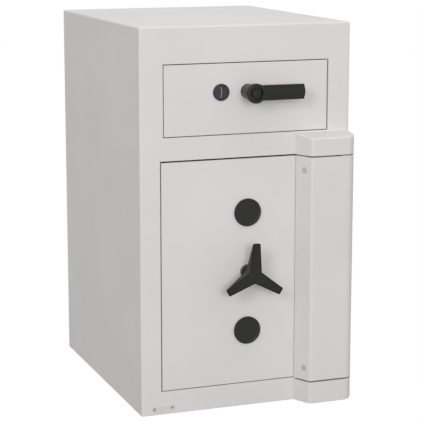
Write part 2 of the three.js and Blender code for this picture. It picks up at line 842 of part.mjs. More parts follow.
function addSpokeHandle(group) {
  const face = front - handleStandoff;
  const arms = prism('y', spokeOutline(), face, face + spokeHubDepth);
  const slopeBody = turned([
    [0, 0],
    [spokeBodyRadius, 0],
    [handleReach + cutOverrun, spokeHubDepth - spokeTipDepth],
    [handleReach + cutOverrun, spokeHubDepth + cutOverrun],
    [0, spokeHubDepth + cutOverrun],
  ], controlAxisX, face + spokeHubDepth, handleZ);
  const hub = rod(
    'y', controlAxisX, handleZ, hubRadius, face + spokeHubDepth / 2, front - collarDepth - coverGap,
  );
  addPiece(group, 'three_spoke_handle', arms.intersect(slopeBody).add(hub), 'charcoal');
}

// One flank of an involute tooth, as [radius, half angle] from the base or root circle to the tip.
function involuteFlank(teeth, tipRadius, rootRadius) {
  const pitchRadius = gearModule * teeth / 2;
  const baseRadius = pitchRadius * Math.cos(pressureAngle);
  const involute = (radius) => {
    const angle = Math.acos(Math.min(1, baseRadius / radius));
    return Math.tan(angle) - angle;
  };
  const halfTooth = Math.PI / (2 * teeth) - toothSlack / (2 * pitchRadius);
  const first = Math.max(baseRadius, rootRadius);
  const flank = first > rootRadius ? [[rootRadius, halfTooth + involute(pitchRadius)]] : [];
  for (let i = 0; i <= arcSteps / 2; i += 1) {
    const radius = first + (tipRadius - first) * 2 * i / arcSteps;
    flank.push([radius, halfTooth + involute(pitchRadius) - involute(radius)]);
  }
  return flank;
}

// The outline of a spur pinion. A tooth space lies on the angle given by the phase.
function pinionOutline(u, v, teeth, phase) {
  const pitchRadius = gearModule * teeth / 2;
  const flank = involuteFlank(teeth, pitchRadius + gearModule, pitchRadius - gearRootShare * gearModule);
  const points = [];
  for (let tooth = 0; tooth < teeth; tooth += 1) {
    const middle = phase + (tooth + 0.5) * 2 * Math.PI / teeth;
    const polar = (radius, angle) => new THREE.Vector2(
      u + radius * Math.cos(angle), v + radius * Math.sin(angle),
    );
    flank.forEach(([radius, half]) => points.push(polar(radius, middle - half)));
    [...flank].reverse().forEach(([radius, half]) => points.push(polar(radius, middle + half)));
  }
  return points;
}

// The outline of a rack. A tooth lies at the place called middle and every pitch from there on.
// The teeth point up when side is 1 and down when it is -1, and the back of the bar is flat.
function rackOutline(from, to, middle, tip, side, height) {
  const pitch = Math.PI * gearModule;
  const root = gearModule + gearRootShare * gearModule;
  const tan = Math.tan(pressureAngle);
  const halfAtPitch = pitch / 4 - toothSlack / 2;
  const halfTip = halfAtPitch - gearModule * tan;
  const halfRoot = halfAtPitch + (root - gearModule) * tan;
  const first = Math.ceil((from + halfRoot - middle) / pitch);
  const last = Math.floor((to - halfRoot - middle) / pitch);
  const points = [new THREE.Vector2(from, tip - side * height), new THREE.Vector2(from, tip - side * root)];
  for (let tooth = first; tooth <= last; tooth += 1) {
    const at = middle + tooth * pitch;
    points.push(new THREE.Vector2(at - halfRoot, tip - side * root));
    points.push(new THREE.Vector2(at - halfTip, tip));
    points.push(new THREE.Vector2(at + halfTip, tip));
    points.push(new THREE.Vector2(at + halfRoot, tip - side * root));
  }
  points.push(new THREE.Vector2(to, tip - side * root), new THREE.Vector2(to, tip - side * height));
  return points;
}

function addBoltPinion(group) {
  const spindleBack = boltY + boltPinionWidth / 2 + spindleClearance;
  const spindle = rod(
    'y', controlAxisX, handleZ, spindleRadius, front - collarDepth - coverGap, spindleBack, smallSides,
  );
  addPiece(group, 'handle_spindle', spindle, 'steel');
  const gear = prism(
    'y', pinionOutline(controlAxisX, handleZ, boltPinionTeeth, Math.PI / 2),
    boltY - boltPinionWidth / 2, boltY + boltPinionWidth / 2,
  );
  const bore = rod(
    'y', controlAxisX, handleZ, spindleRadius + pinClearance,
    boltY - boltPinionWidth / 2 - cutOverrun, boltY + boltPinionWidth / 2 + cutOverrun, smallSides,
  );
  addPiece(group, 'bolt_pinion', cut(gear, [bore]), 'steel');
}

// The bolt carriage: an upright bar with a toothed arm over the pinion, and three bolts on its left.
function addBoltCarriage(group) {
  const half = carriageThickness / 2;
  const upright = block(
    carriageLeft, carriageLeft + carriageWidth, boltY - half, boltY + half,
    boltHeights[0] - carriageOverhang, boltHeights[2] + carriageOverhang,
  );
  const tip = handleZ + boltPinionRadius - gearModule;
  const outline = rackOutline(
    carriageLeft + carriageWidth / 2, controlAxisX + rackRunOut, controlAxisX, tip, -1,
    rackBarHeight + 2 * gearModule,
  );
  const arm = prism('y', outline, boltY - rackBarWidth / 2, boltY + rackBarWidth / 2);
  addPiece(group, 'bolt_carriage', upright.add(arm), 'steel');
  const names = ['lower_bolt', 'middle_bolt', 'upper_bolt'];
  boltHeights.forEach((z, i) => {
    const bolt = rod('x', boltY, z, boltRadius, carriageLeft - boltLength, carriageLeft);
    addPiece(group, names[i], bolt, 'steel');
  });
}

function addDrawerFront(group) {
  const plate = block(-drawerHalf, drawerHalf, front, frontPlateBack, drawerBottom, drawerTop);
  const spindleHole = rod(
    'y', controlAxisX, drawerAxisZ, leverSpindleRadius + leverSpindleClearance,
    front - cutOverrun, frontPlateBack + cutOverrun, smallSides,
  );
  const lockHole = rod(
    'y', drawerLockX, drawerAxisZ, lockBarrelRadius + plugClearance,
    front - cutOverrun, frontPlateBack + cutOverrun,
  );
  addPiece(group, 'drawer_front', cut(plate, [spindleHole, lockHole]), 'paint');
  const wall = block(-sideInner, sideInner, innerWallFront, boxFront, boxBottom, boxTop);
  addPiece(group, 'drawer_inner_wall', wall, 'paint');
}

// One side of the drawer, as its plan would be cut from sheet: a tall front part, a long low arm behind it,
// a hanger for the drive shaft and a flange folded inwards under the travelling floor.
function drawerSide(sign) {
  const armTop = boxBottom + drawerArmHeight;
  const hangerBottom = driveShaftZ - driveHangerDrop;
  const outline = [
    new THREE.Vector2(frontPlateBack, boxBottom),
    new THREE.Vector2(driveShaftY - driveHangerWidth / 2, boxBottom),
    new THREE.Vector2(driveShaftY - driveHangerWidth / 2, hangerBottom),
    new THREE.Vector2(driveShaftY + driveHangerWidth / 2, hangerBottom),
    new THREE.Vector2(driveShaftY + driveHangerWidth / 2, boxBottom),
    new THREE.Vector2(armBack, boxBottom),
    new THREE.Vector2(armBack, armTop),
    new THREE.Vector2(boxBack, armTop),
    new THREE.Vector2(boxBack, boxTop),
    new THREE.Vector2(frontPlateBack, boxTop),
  ];
  const near = Math.min(sign * sideInner, sign * sideOuter);
  const plate = prism('x', outline, near, near + sheetThickness);
  const bore = rod(
    'x', driveShaftY, driveShaftZ, driveShaftRadius + driveShaftClearance,
    near - cutOverrun, near + sheetThickness + cutOverrun, smallSides,
  );
  const flangeFrom = Math.min(sign * sideInner, sign * (sideInner - drawerSideFlange));
  const flange = block(
    flangeFrom, flangeFrom + drawerSideFlange, boxFront, armBack, boxBottom, boxBottom + sheetThickness,
  );
  return cut(plate, [bore]).add(flange);
}

function addDrawerBox(group) {
  addPiece(group, 'left_drawer_side', drawerSide(-1), 'zinc');
  addPiece(group, 'right_drawer_side', drawerSide(1), 'zinc');
  const rear = block(
    -sideInner, sideInner, boxBack - sheetThickness, boxBack, floorOver + rearWallLift, boxTop,
  );
  addPiece(group, 'drawer_rear_wall', rear, 'zinc');
  for (const [name, sign] of [['left_drawer_rail', -1], ['right_drawer_rail', 1]]) {
    const near = Math.min(sign * sideOuter, sign * (sideOuter + railWidth));
    const rail = block(
      near, near + railWidth, frontPlateBack + railFrontGap, armBack,
      railZ - railHeight / 2, railZ + railHeight / 2,
    );
    addPiece(group, name, rail, 'steel');
  }
}

function addLeverRose(group) {
  const bore = leverSpindleRadius + leverSpindleClearance;
  const ring = rod('y', controlAxisX, drawerAxisZ, roseRadius, front - roseDepth, front);
  const hole = rod('y', controlAxisX, drawerAxisZ, bore, front - roseDepth - cutOverrun, front + cutOverrun);
  addPiece(group, 'lever_rose', cut(ring, [hole]), 'charcoal');
}

// The lever's bar: an upright section with a crowned face between two narrow rims.
function leverBarSection(half) {
  const inner = half - leverBarRim;
  const crown = [];
  for (let i = 0; i <= arcSteps; i += 1) {
    const across = -inner + 2 * inner * i / arcSteps;
    const rise = leverBarCrown * (1 - (across / inner) ** 2);
    crown.push(new THREE.Vector2(-leverBarDepth + leverBarCrown - rise, across));
  }
  return [
    new THREE.Vector2(0, -half),
    new THREE.Vector2(0, half),
    new THREE.Vector2(-leverBarDepth + leverBarCrown / 2, half),
    new THREE.Vector2(-leverBarDepth + leverBarCrown / 2, inner),
    ...crown.reverse(),
    new THREE.Vector2(-leverBarDepth + leverBarCrown / 2, -inner),
    new THREE.Vector2(-leverBarDepth + leverBarCrown / 2, -half),
  ];
}

function addLever(group) {
  const capFront = front - leverStandoff;
  const barrelBack = front - roseDepth - coverGap;
  const barrelFront = capFront + leverCapDepth / 2;
  const barrel = turned([
    [0, 0],
    [leverBarrelRadius, 0],
    [leverBarrelRadius + leverBarrelFlare, barrelBack - barrelFront],
    [0, barrelBack - barrelFront],
  ], controlAxisX, barrelBack, drawerAxisZ);
  const cap = turned([
    [0, 0],
    [leverCapRadius, 0],
    [leverCapRadius, leverCapDepth - leverCapChamfer],
    [leverCapRadius - leverCapChamfer, leverCapDepth],
    [leverCapRadius - leverCapRim, leverCapDepth],
    [leverCapRadius - leverCapRim, leverCapDepth - leverCapRecess],
    [0, leverCapDepth - leverCapRecess],
  ], controlAxisX, capFront + leverCapDepth, drawerAxisZ);
  const barBack = capFront + leverCapDepth + leverBarDepth / 2;
  const tipX = controlAxisX + leverReach;
  const place = new THREE.Vector2(barBack, drawerAxisZ);
  const section = leverBarSection(leverBarHubHeight / 2).map((corner) => corner.add(place));
  const bar = prism('x', section, controlAxisX, tipX);
  const taperOutline = new THREE.Shape();
  taperOutline.moveTo(controlAxisX, drawerAxisZ - leverBarHubHeight / 2);
  taperOutline.lineTo(tipX - leverTipBulge, drawerAxisZ - leverBarTipHeight / 2);
  taperOutline.quadraticCurveTo(
    tipX + leverTipBulge, drawerAxisZ, tipX - leverTipBulge, drawerAxisZ + leverBarTipHeight / 2,
  );
  taperOutline.lineTo(controlAxisX, drawerAxisZ + leverBarHubHeight / 2);
  taperOutline.closePath();
  const taper = prism('y', taperOutline, barBack - leverBarDepth - cutOverrun, barBack + cutOverrun);
  addPiece(group, 'lever_handle', join([barrel, bar.intersect(taper), cap]), 'charcoal');
}

function addLatchCam(group) {
  const camFront = frontPlateBack + camSetback;
  const spindle = rod(
    'y', controlAxisX, drawerAxisZ, leverSpindleRadius, front - roseDepth - coverGap, camFront + camThickness,
    smallSides,
  );
  const half = camWidth / 2;
  const arm = prism('y', [
    ...arc(controlAxisX, drawerAxisZ, half, Math.PI / 2, 3 * Math.PI / 2, arcSteps),
    new THREE.Vector2(controlAxisX + camReach, drawerAxisZ - half),
    new THREE.Vector2(controlAxisX + camReach, drawerAxisZ + half),
  ], camFront, camFront + camThickness);
  addPiece(group, 'latch_cam', spindle.add(arm), 'steel');
}

function addDrawerLock(group) {
  const bore = plugRadius + plugClearance;
  const barrelBack = frontPlateBack + lockBarrelLength - camThickness;
  const flange = rod('y', drawerLockX, drawerAxisZ, lockFlangeRadius, front - lockFlangeDepth, front);
  const barrel = rod('y', drawerLockX, drawerAxisZ, lockBarrelRadius, front, barrelBack);
  const mouth = front - lockFlangeDepth;
  const hole = rod('y', drawerLockX, drawerAxisZ, bore, mouth - cutOverrun, barrelBack + cutOverrun);
  addPiece(group, 'lock_cylinder_body', cut(join([flange, barrel]), [hole]), 'charcoal');
}

// The turning plug, with a keyway that sways gently from side to side, and the cam on its back end.
function addLockPlug(group) {
  const barrelBack = frontPlateBack + lockBarrelLength - camThickness;
  const plugFront = front - lockFlangeDepth + plugRecess;
  const plug = rod('y', drawerLockX, drawerAxisZ, plugRadius, plugFront, barrelBack);
  const edge = (side) => {
    const points = [];
    for (let i = 0; i <= 2 * arcSteps; i += 1) {
      const share = i / (2 * arcSteps);
      const sway = keywaySway * Math.sin(2 * Math.PI * share);
      points.push(new THREE.Vector2(
        drawerLockX + sway + side * keywayWidth / 2, drawerAxisZ + keywayHeight * (share - 0.5),
      ));
    }
    return points;
  };
  const slot = [...edge(1), ...edge(-1).reverse()];
  const keyway = prism('y', slot, plugFront - cutOverrun, plugFront + keywayDepth);
  const cam = block(
    drawerLockX - lockCamWidth / 2, drawerLockX + lockCamWidth / 2,
    barrelBack, barrelBack + lockCamThickness,
    drawerAxisZ - lockCamLength, drawerAxisZ + lockCamWidth / 2,
  );
  addPiece(group, 'lock_plug', cut(plug, [keyway]).add(cam), 'steel');
}

// The travelling floor: a plate on two racks, with a tie between the racks behind the plate.
function addTrapFloor(group) {
  const plate = block(-floorHalf, floorHalf, floorFront, floorBack, floorUnder, floorOver);
  const rackBack = driveShaftY + drawerTravel + rackLeadIn;
  const outline = rackOutline(
    driveShaftY - rackLeadIn, rackBack, driveShaftY, rackTipZ, -1, floorRackHeight,
  );
  const racks = [-1, 1].map((sign) => {
    const near = Math.min(sign * floorRackOuter, sign * (floorRackOuter - floorRackWidth));
    return prism('x', outline, near, near + floorRackWidth);
  });
  const tie = block(
    -floorRackOuter, floorRackOuter, rackBack - floorTieLength, rackBack,
    floorUnder - floorThickness, floorUnder,
  );
  addPiece(group, 'trap_floor', join([plate, ...racks, tie]), 'zinc');
}

function addDriveShaft(group) {
  const shaft = rod('x', driveShaftY, driveShaftZ, driveShaftRadius, -sideOuter, sideOuter, smallSides);
  const outline = pinionOutline(driveShaftY, driveShaftZ, drivePinionTeeth, Math.PI / 2);
  const gears = [-1, 1].map((sign) => {
    const middle = sign * (floorRackOuter - floorRackWidth / 2);
    return prism('x', outline, middle - drivePinionWidth / 2, middle + drivePinionWidth / 2);
  });
  addPiece(group, 'drive_pinion_shaft', join([shaft, ...gears]), 'steel');
}

function addFixedRacks(group) {
  const outline = rackOutline(
    driveShaftY - drawerTravel - rackLeadIn, driveShaftY + rackLeadIn, driveShaftY, fixedRackTip, 1,
    fixedRackHeight,
  );
  for (const [name, sign] of [['left_fixed_rack', -1], ['right_fixed_rack', 1]]) {
    const near = Math.min(sign * floorRackOuter, sign * (floorRackOuter - floorRackWidth));
    addPiece(group, name, prism('x', outline, near, near + floorRackWidth), 'steel');
  }
}

function addRunners(group) {
  for (const [name, sign] of [['left_runner', -1], ['right_runner', 1]]) {
    const mouth = sideOuter + runnerMouthGap;
    const half = railHeight / 2 + runnerClearance;
    const span = (x0, x1) => [Math.min(sign * x0, sign * x1), Math.max(sign * x0, sign * x1)];
    const to = innerFront + runnerLength;
    const web = block(
      ...span(innerRight - runnerWeb, innerRight), innerFront, to, railZ - half - runnerFlange,
      railZ + half + runnerFlange,
    );
    const flanges = [railZ - half - runnerFlange, railZ + half].map((z) => block(
      ...span(mouth, innerRight - runnerWeb), innerFront, to, z, z + runnerFlange,
    ));
    addPiece(group, name, join([web, ...flanges]), 'zinc');
  }
}

function addDividerShelf(group) {
  const shelf = block(-innerRight, innerRight, innerFront, innerBack, shelfBottom, shelfTop);
  const chute = block(
    -chuteHalf, chuteHalf, chuteFront, chuteBack, shelfBottom - cutOverrun, shelfTop + cutOverrun,
  );
  addPiece(group, 'divider_shelf', cut(shelf, [chute]), 'paint');
  const t = bafflePlate;
  const bend = chuteFront;
  const foot = bend + baffleRun;
  const baffle = prism('x', [
    new THREE.Vector2(bend - baffleFlange, shelfBottom),
    new THREE.Vector2(bend - baffleFlange, shelfBottom - t),
    new THREE.Vector2(bend - t, shelfBottom - t),
    new THREE.Vector2(foot, shelfBottom - baffleDrop),
    new THREE.Vector2(foot + t, shelfBottom - baffleDrop + t),
    new THREE.Vector2(bend, shelfBottom),
  ], -chuteHalf, chuteHalf);
  addPiece(group, 'anti_fish_baffle', baffle, 'zinc');
}

function addStorageShelf(group) {
  const z = innerFloor + storageShelfHeight;
  const shelf = block(
    -innerRight + storageShelfSideGap, innerRight - storageShelfSideGap,
    frameBack + storageShelfFrontGap, innerBack - storageShelfBackGap, z, z + floorThickness,
  );
  addPiece(group, 'storage_shelf', shelf, 'paint');
}

function cabinet() {
  const group = new THREE.Group();
  addOuterPlates(group);
  addBarrierFill(group);
  addLiner(group);
  addOpeningFrames(group);
  addHingeCaps(group);
  addHingePins(group);
  addDividerShelf(group);
  addStorageShelf(group);
  addRunners(group);
  addFixedRacks(group);
  return group;
}

function door() {
  const group = new THREE.Group();
  addDoorShell(group);
  addHingeBar(group);
  addBoltFrame(group);
  addLockCases(group);
  addEscutcheons(group);
  addHandleCollar(group);
  addKeyholeCover(group, 'lower_keyhole_cover', lockHeights[0]);
  addKeyholeCover(group, 'upper_keyhole_cover', lockHeights[1]);
  addSpokeHandle(group);
  addBoltPinion(group);
  addBoltCarriage(group);
  return group;
}

function drawer() {
  const group = new THREE.Group();
  addDrawerFront(group);
  addDrawerBox(group);
  addLeverRose(group);
  addLever(group);
  addLatchCam(group);
  addDrawerLock(group);
  addLockPlug(group);
  addTrapFloor(group);
  addDriveShaft(group);
  return group;
}

const safe = new THREE.Group();
safe.add(cabinet(), door(), drawer());

export default safe;
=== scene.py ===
# %% [markdown]
# # A drop safe with a deposit drawer
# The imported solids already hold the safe's sizes, its joints and its hidden works. This lesson dresses them:
# it builds the painted steel, the dark castings and the small fasteners as fine surfaces, and gives every
# piece a finish. All sizes are in millimetres and are turned into metres at the last moment. The frame's
# origin is on the floor under the middle of the safe, x runs to the right, and the front looks along -y.

# %% Load the solids and keep their box
import math

import bmesh
import bpy
import numpy as np
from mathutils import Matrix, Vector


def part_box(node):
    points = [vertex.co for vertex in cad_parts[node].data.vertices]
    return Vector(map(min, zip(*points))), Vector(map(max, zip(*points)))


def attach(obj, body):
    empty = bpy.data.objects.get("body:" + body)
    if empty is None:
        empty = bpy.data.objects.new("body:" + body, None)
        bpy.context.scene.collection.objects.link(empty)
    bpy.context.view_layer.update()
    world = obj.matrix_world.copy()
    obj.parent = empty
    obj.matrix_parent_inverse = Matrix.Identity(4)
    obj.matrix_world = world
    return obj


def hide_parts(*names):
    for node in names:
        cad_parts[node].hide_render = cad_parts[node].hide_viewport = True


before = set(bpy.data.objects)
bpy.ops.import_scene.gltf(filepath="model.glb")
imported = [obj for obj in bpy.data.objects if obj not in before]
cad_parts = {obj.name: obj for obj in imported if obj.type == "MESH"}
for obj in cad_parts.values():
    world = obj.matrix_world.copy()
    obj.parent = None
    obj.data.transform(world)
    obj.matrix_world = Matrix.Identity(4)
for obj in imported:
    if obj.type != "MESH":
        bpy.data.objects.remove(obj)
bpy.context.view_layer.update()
mm = 0.001
tiny, sharp = 1e-6, 0.01  # millimetres: between points that coincide, and for the rim of a cutting tool

# %% [markdown]
# ## Surfaces as arrays
# A closed piece can be seen as a stack of rings, all with the same number of points. Neighbouring rings are
# joined by four-sided faces, and one face closes each end. Numpy works out all the points of a piece at once,
# which is short to write and keeps the shape in one formula. The other way, adding corners one by one, would
# hide the shape in loops.

# %% A mesh from points and faces
doubled = 1e-7  # metres between two corners that count as one


def mesh_piece(name, points, faces):
    """An object at the origin whose corners are the given points, in millimetres."""
    mesh = bpy.data.meshes.new(name)
    mesh.from_pydata((np.asarray(points) * mm).tolist(), [], faces)
    piece = bpy.data.objects.new(name, mesh)
    bpy.context.scene.collection.objects.link(piece)
    return piece


def outward(piece):
    """Merges doubled corners and turns every face to look away from the solid."""
    work = bmesh.new()
    work.from_mesh(piece.data)
    bmesh.ops.remove_doubles(work, verts=work.verts, dist=doubled)
    bmesh.ops.recalc_face_normals(work, faces=work.faces)
    work.to_mesh(piece.data)
    work.free()
    return piece


def skin(name, rings, loop=False):
    """Rings is an array of rows, columns and three coordinates. The face at row r and column c joins the
    points (r, c), (r, c + 1), (r + 1, c + 1) and (r + 1, c), and the columns close on themselves. A loop
    also joins the last row to the first. Without it the first and last rows are closed by a face each."""
    rows, columns = rings.shape[:2]
    r, c = np.meshgrid(np.arange(rows if loop else rows - 1), np.arange(columns), indexing="ij")
    here, beside = r * columns + c, r * columns + (c + 1) % columns
    above, above_beside = (r + 1) % rows * columns + c, (r + 1) % rows * columns + (c + 1) % columns
    faces = np.stack([here, beside, above_beside, above], axis=-1).reshape(-1, 4).tolist()
    if not loop:
        faces += [np.arange(columns)[::-1].tolist(), (np.arange(columns) + (rows - 1) * columns).tolist()]
    return outward(mesh_piece(name, rings.reshape(-1, 3), faces))


print("rings are skinned with four-sided faces")

# %% [markdown]
# ## Outlines with soft corners
# Pressed sheet and castings have no knife edges. A corner is softened by a curve that starts a little before
# it and ends a little after it. The same rule serves for the plan of a column, the face of a handle and the
# profile of a turned disc, so it is written once for all of them.

# %% Soften the corners of a path
def softened_path(corners, reach, steps=5, closed=True):
    """Each corner P gives way to the curve (1-t)^2 A + 2t(1-t) P + t^2 B. A and B lie on the two sides that
    meet in P, at the distance reach from it, or at a given share of the side where the side is short."""
    share_of_side = 0.45
    corners = np.asarray(corners, float)
    reach = np.broadcast_to(np.asarray(reach, float), (len(corners),))
    before, after = np.roll(corners, 1, 0) - corners, np.roll(corners, -1, 0) - corners
    back, ahead = np.linalg.norm(before, axis=1), np.linalg.norm(after, axis=1)
    start = corners + before * (np.minimum(reach, share_of_side * back) / back)[:, None]
    end = corners + after * (np.minimum(reach, share_of_side * ahead) / ahead)[:, None]
    if not closed:
        start[[0, -1]] = end[[0, -1]] = corners[[0, -1]]
    t = np.linspace(0, 1, steps + 1)[None, :, None]
    curve = (1 - t) ** 2 * start[:, None] + 2 * t * (1 - t) * corners[:, None] + t ** 2 * end[:, None]
    points = curve.reshape(-1, 2)
    different = np.linalg.norm(points - np.roll(points, 1, 0), axis=1) > tiny
    return points[different] if closed else points[np.r_[True, different[1:]]]


def rectangle(u0, u1, v0, v1, corner=0.0, steps=6):
    """Four corners, each a quarter circle: centre + corner (cos a, sin a)."""
    a = np.linspace(0, np.pi / 2, steps + 1)[None, :] + np.pi / 2 * np.arange(4)[:, None]
    centres = np.array([[u1, v1], [u0, v1], [u0, v0], [u1, v0]], float)
    centres += corner * np.array([[-1, -1], [1, -1], [1, 1], [-1, 1]])
    if corner == 0:
        return centres
    return (centres[:, None] + corner * np.stack([np.cos(a), np.sin(a)], -1)).reshape(-1, 2)


def inset(outline, distance):
    """Moves every side of a closed outline inwards by the distance. A point moves along the sum of the
    normals of its two sides, divided by one plus their product. The outline runs anticlockwise, and the
    distance is one for all or one for each point."""
    sides = np.roll(outline, -1, 0) - outline
    normals = np.stack([sides[:, 1], -sides[:, 0]], -1) / np.linalg.norm(sides, axis=1)[:, None]
    earlier = np.roll(normals, 1, 0)
    share = 1 + (normals * earlier).sum(1)
    return outline - np.asarray(distance)[..., None] * (normals + earlier) / share[:, None]


print("a softened square has", len(softened_path(rectangle(0, 10, 0, 10), 2)), "points")

# %% Push an outline along an axis, with rounded rims
def rim(radius, steps=4):
    """A quarter round from the side wall to the flat: drawn in by r(1 - cos a), and short of the flat by
    r(1 - sin a)."""
    a = np.linspace(0, np.pi / 2, steps + 1)
    return np.stack([radius * (1 - np.cos(a)), radius * (1 - np.sin(a))], -1)


def laid(outline, level, axis):
    """Lays an outline across an axis: (x, z) across y, (x, y) across z, (y, z) across x."""
    u, v = outline[:, 0], outline[:, 1]
    level = np.broadcast_to(level, u.shape)
    return np.stack({"x": [level, u, v], "y": [u, level, v], "z": [u, v, level]}[axis], -1)


def stacked(name, outline, rows, axis):
    """The outline once for each row, drawn in by the row's first number and laid at its second."""
    return skin(name, np.stack([laid(inset(outline, drawn), level, axis) for drawn, level in rows]))


def plate(name, outline, base, face, base_rim, face_rim, axis="y"):
    """An outline pushed from its base to its face. Each end is rounded by a rim of its own radius."""
    way = 1 if face > base else -1
    rows = [(drawn, base + way * short) for drawn, short in rim(base_rim)[::-1]]
    rows += [(drawn, face - way * short) for drawn, short in rim(face_rim)]
    return stacked(name, outline, rows, axis)


def turned(name, profile, centre, ahead=(0, -1, 0), count=64, loop=False):
    """A profile of (radius, distance ahead) pairs swept round an axis: the point is the centre, plus the
    distance along the axis, plus radius (u cos a + v sin a), where u and v are across the axis."""
    ahead = np.asarray(ahead, float) / np.linalg.norm(ahead)
    u = np.cross(ahead, (0, 0, 1) if abs(ahead[2]) < 0.9 else (1, 0, 0))
    u /= np.linalg.norm(u)
    v = np.cross(ahead, u)
    profile = np.asarray(profile, float)
    a = np.linspace(0, 2 * np.pi, count, endpoint=False)
    ring = np.stack([np.cos(a), np.sin(a)], -1) @ np.stack([u, v])
    outwards, forwards = profile[:, 0, None, None] * ring, profile[:, 1, None, None] * ahead
    return skin(name, np.asarray(centre, float) + outwards + forwards, loop)


print("a 2 mm rim:", rim(2, 2).round(2).tolist())

# %% [markdown]
# ## Cutting and finishing
# Holes and windows are cut with Blender's Boolean modifier, which is exact, and the result is kept as plain
# mesh. Shading is then smooth, but broken at real corners, and the Weighted Normal modifier lets the large
# flat faces decide how the light falls on them. Without it a rounded rim would bend the light far into the
# flat.

# %% Cut, join and smooth
def cut_out(piece, tools):
    """Takes each tool out of the piece, one after the other, and throws the tool away."""
    for tool in tools:
        saw = piece.modifiers.new("cut", "BOOLEAN")
        saw.operation, saw.solver, saw.object = "DIFFERENCE", "EXACT", tool
        bpy.context.view_layer.update()
        ready = piece.evaluated_get(bpy.context.evaluated_depsgraph_get())
        made = bpy.data.meshes.new_from_object(ready)
        piece.modifiers.clear()
        piece.data = made
        bpy.data.objects.remove(tool)


def together(name, pieces):
    """Several closed meshes become the parts of one object."""
    work = bmesh.new()
    for piece in pieces:
        work.from_mesh(piece.data)
        bpy.data.objects.remove(piece)
    whole = mesh_piece(name, np.zeros((0, 3)), [])
    work.to_mesh(whole.data)
    work.free()
    return whole


def smoothed(piece, corner=40):
    """Smooth shading that breaks where two faces meet at more than the corner, in degrees."""
    mesh = piece.data
    mesh.polygons.foreach_set("use_smooth", np.ones(len(mesh.polygons), bool))
    mesh.set_sharp_from_angle(angle=math.radians(corner))
    weighted = piece.modifiers.new("weighted", "WEIGHTED_NORMAL")
    weighted.keep_sharp = True
    return piece


def fit(piece, body, finish, slot, *nodes):
    """Gives a piece its finish and its body, and hides the solids that it stands for. The slot is not used."""
    piece.data.materials.clear()
    piece.data.materials.append(finish)
    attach(piece, body)
    if nodes:
        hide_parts(*nodes)
    print(piece.name, "has", len(piece.data.polygons), "faces and stands for", list(nodes))


print("pieces can be cut, joined and smoothed")

# %% [markdown]
# ## Material maths as plain Python
# A material is a graph of nodes. Written node by node it is long and hard to read, so a small class stands
# for one output of the graph, and Python's own signs on it add the Math nodes.

# %% One class for a value, one for a finish
class Value:
    """One output of the graph. Plus, minus and times on it add a Math node."""

    def __init__(self, finish, socket):
        self.finish, self.socket = finish, socket

    def maths(self, operation, first, second):
        return self.finish.node("Math", {"operation": operation}, {0: first, 1: second})

    def __add__(self, other):
        return self.maths("ADD", self, other)

    def __rsub__(self, other):
        return self.maths("SUBTRACT", other, self)

    def __mul__(self, other):
        return self.maths("MULTIPLY", self, other)

    __radd__, __rmul__ = __add__, __mul__

    def between(self, low, high):
        """0 below low, 1 above high, and a smooth step between them."""
        return self.finish.node("MapRange", {"interpolation_type": "SMOOTHSTEP"},
                                {"Value": self, "From Min": low, "From Max": high})


class Finish:
    """A material with one shader. What feeds a socket of it is a number, a colour or a Value."""

    def __init__(self, name, **shader):
        self.material = bpy.data.materials.new(name)
        self.material.use_nodes = True
        self.tree = self.material.node_tree
        self.shader = self.tree.nodes["Principled BSDF"]
        self.place = self.node("TexCoord", output="Object")
        for socket, value in shader.items():
            self.feed(self.shader.inputs[socket.replace("_", " ")], value)

    def feed(self, socket, value):
        if isinstance(value, Value):
            self.tree.links.new(value.socket, socket)
        else:
            socket.default_value = value

    def node(self, kind, settings=None, values=None, output=0):
        """Adds a node with its settings and what its sockets take, and gives one of its outputs."""
        made = self.tree.nodes.new("ShaderNode" + kind)
        for setting, value in (settings or {}).items():
            setattr(made, setting, value)
        for socket, value in (values or {}).items():
            self.feed(made.inputs[socket], value)
        return Value(self, made.outputs[output])

    def noise(self, size, detail=2.0, stretch=(1, 1, 1)):
        """Noise whose grains are about as wide as the size, in millimetres."""
        scale = [1 / (size * mm * s) for s in stretch]
        placed = self.node("Mapping", {"vector_type": "POINT"}, {"Vector": self.place, "Scale": scale})
        return self.node("TexNoise", values={"Vector": placed, "Scale": 1.0, "Detail": detail})

    def blend(self, share, first, second):
        """A colour between two others."""
        return self.node("Mix", {"data_type": "RGBA"}, {0: share, 6: first, 7: second}, 2)

    def surface(self, height, depth, strength, **shader):
        """Sets the bump, whose full depth is in millimetres, and what else changes over the surface."""
        bump = self.node("Bump", values={"Height": height, "Distance": depth * mm, "Strength": strength})
        self.feed(self.shader.inputs["Normal"], bump)
        for socket, value in shader.items():
            self.feed(self.shader.inputs[socket.replace("_", " ")], value)
        return self.material


def shade(red, green, blue):
    """A colour written as it shows on a screen, 0 to 255, turned into the linear one that nodes take."""
    c = np.array([red, green, blue]) / 255
    linear = np.where(c <= 0.04045, c / 12.92, ((c + 0.055) / 1.055) ** 2.4)
    return (*linear.tolist(), 1.0)


print("mid grey in linear light:", round(shade(128, 128, 128)[0], 3))

# %% [markdown]
# ## Powder coat
# The safe is sprayed with dry paint and baked. Baked powder never flows quite flat: it keeps a fine swell,
# like orange peel, about two millimetres from crest to crest. It could be modelled as geometry, but a bump made
# of noise does it for nothing. The colour drifts by about one part in a hundred over a whole side.

# %% The painted finishes
drift_size, swell_size, grain_size, handled_size = 260, 2.1, 0.35, 35  # millimetres
swell_depth = 0.25  # millimetres


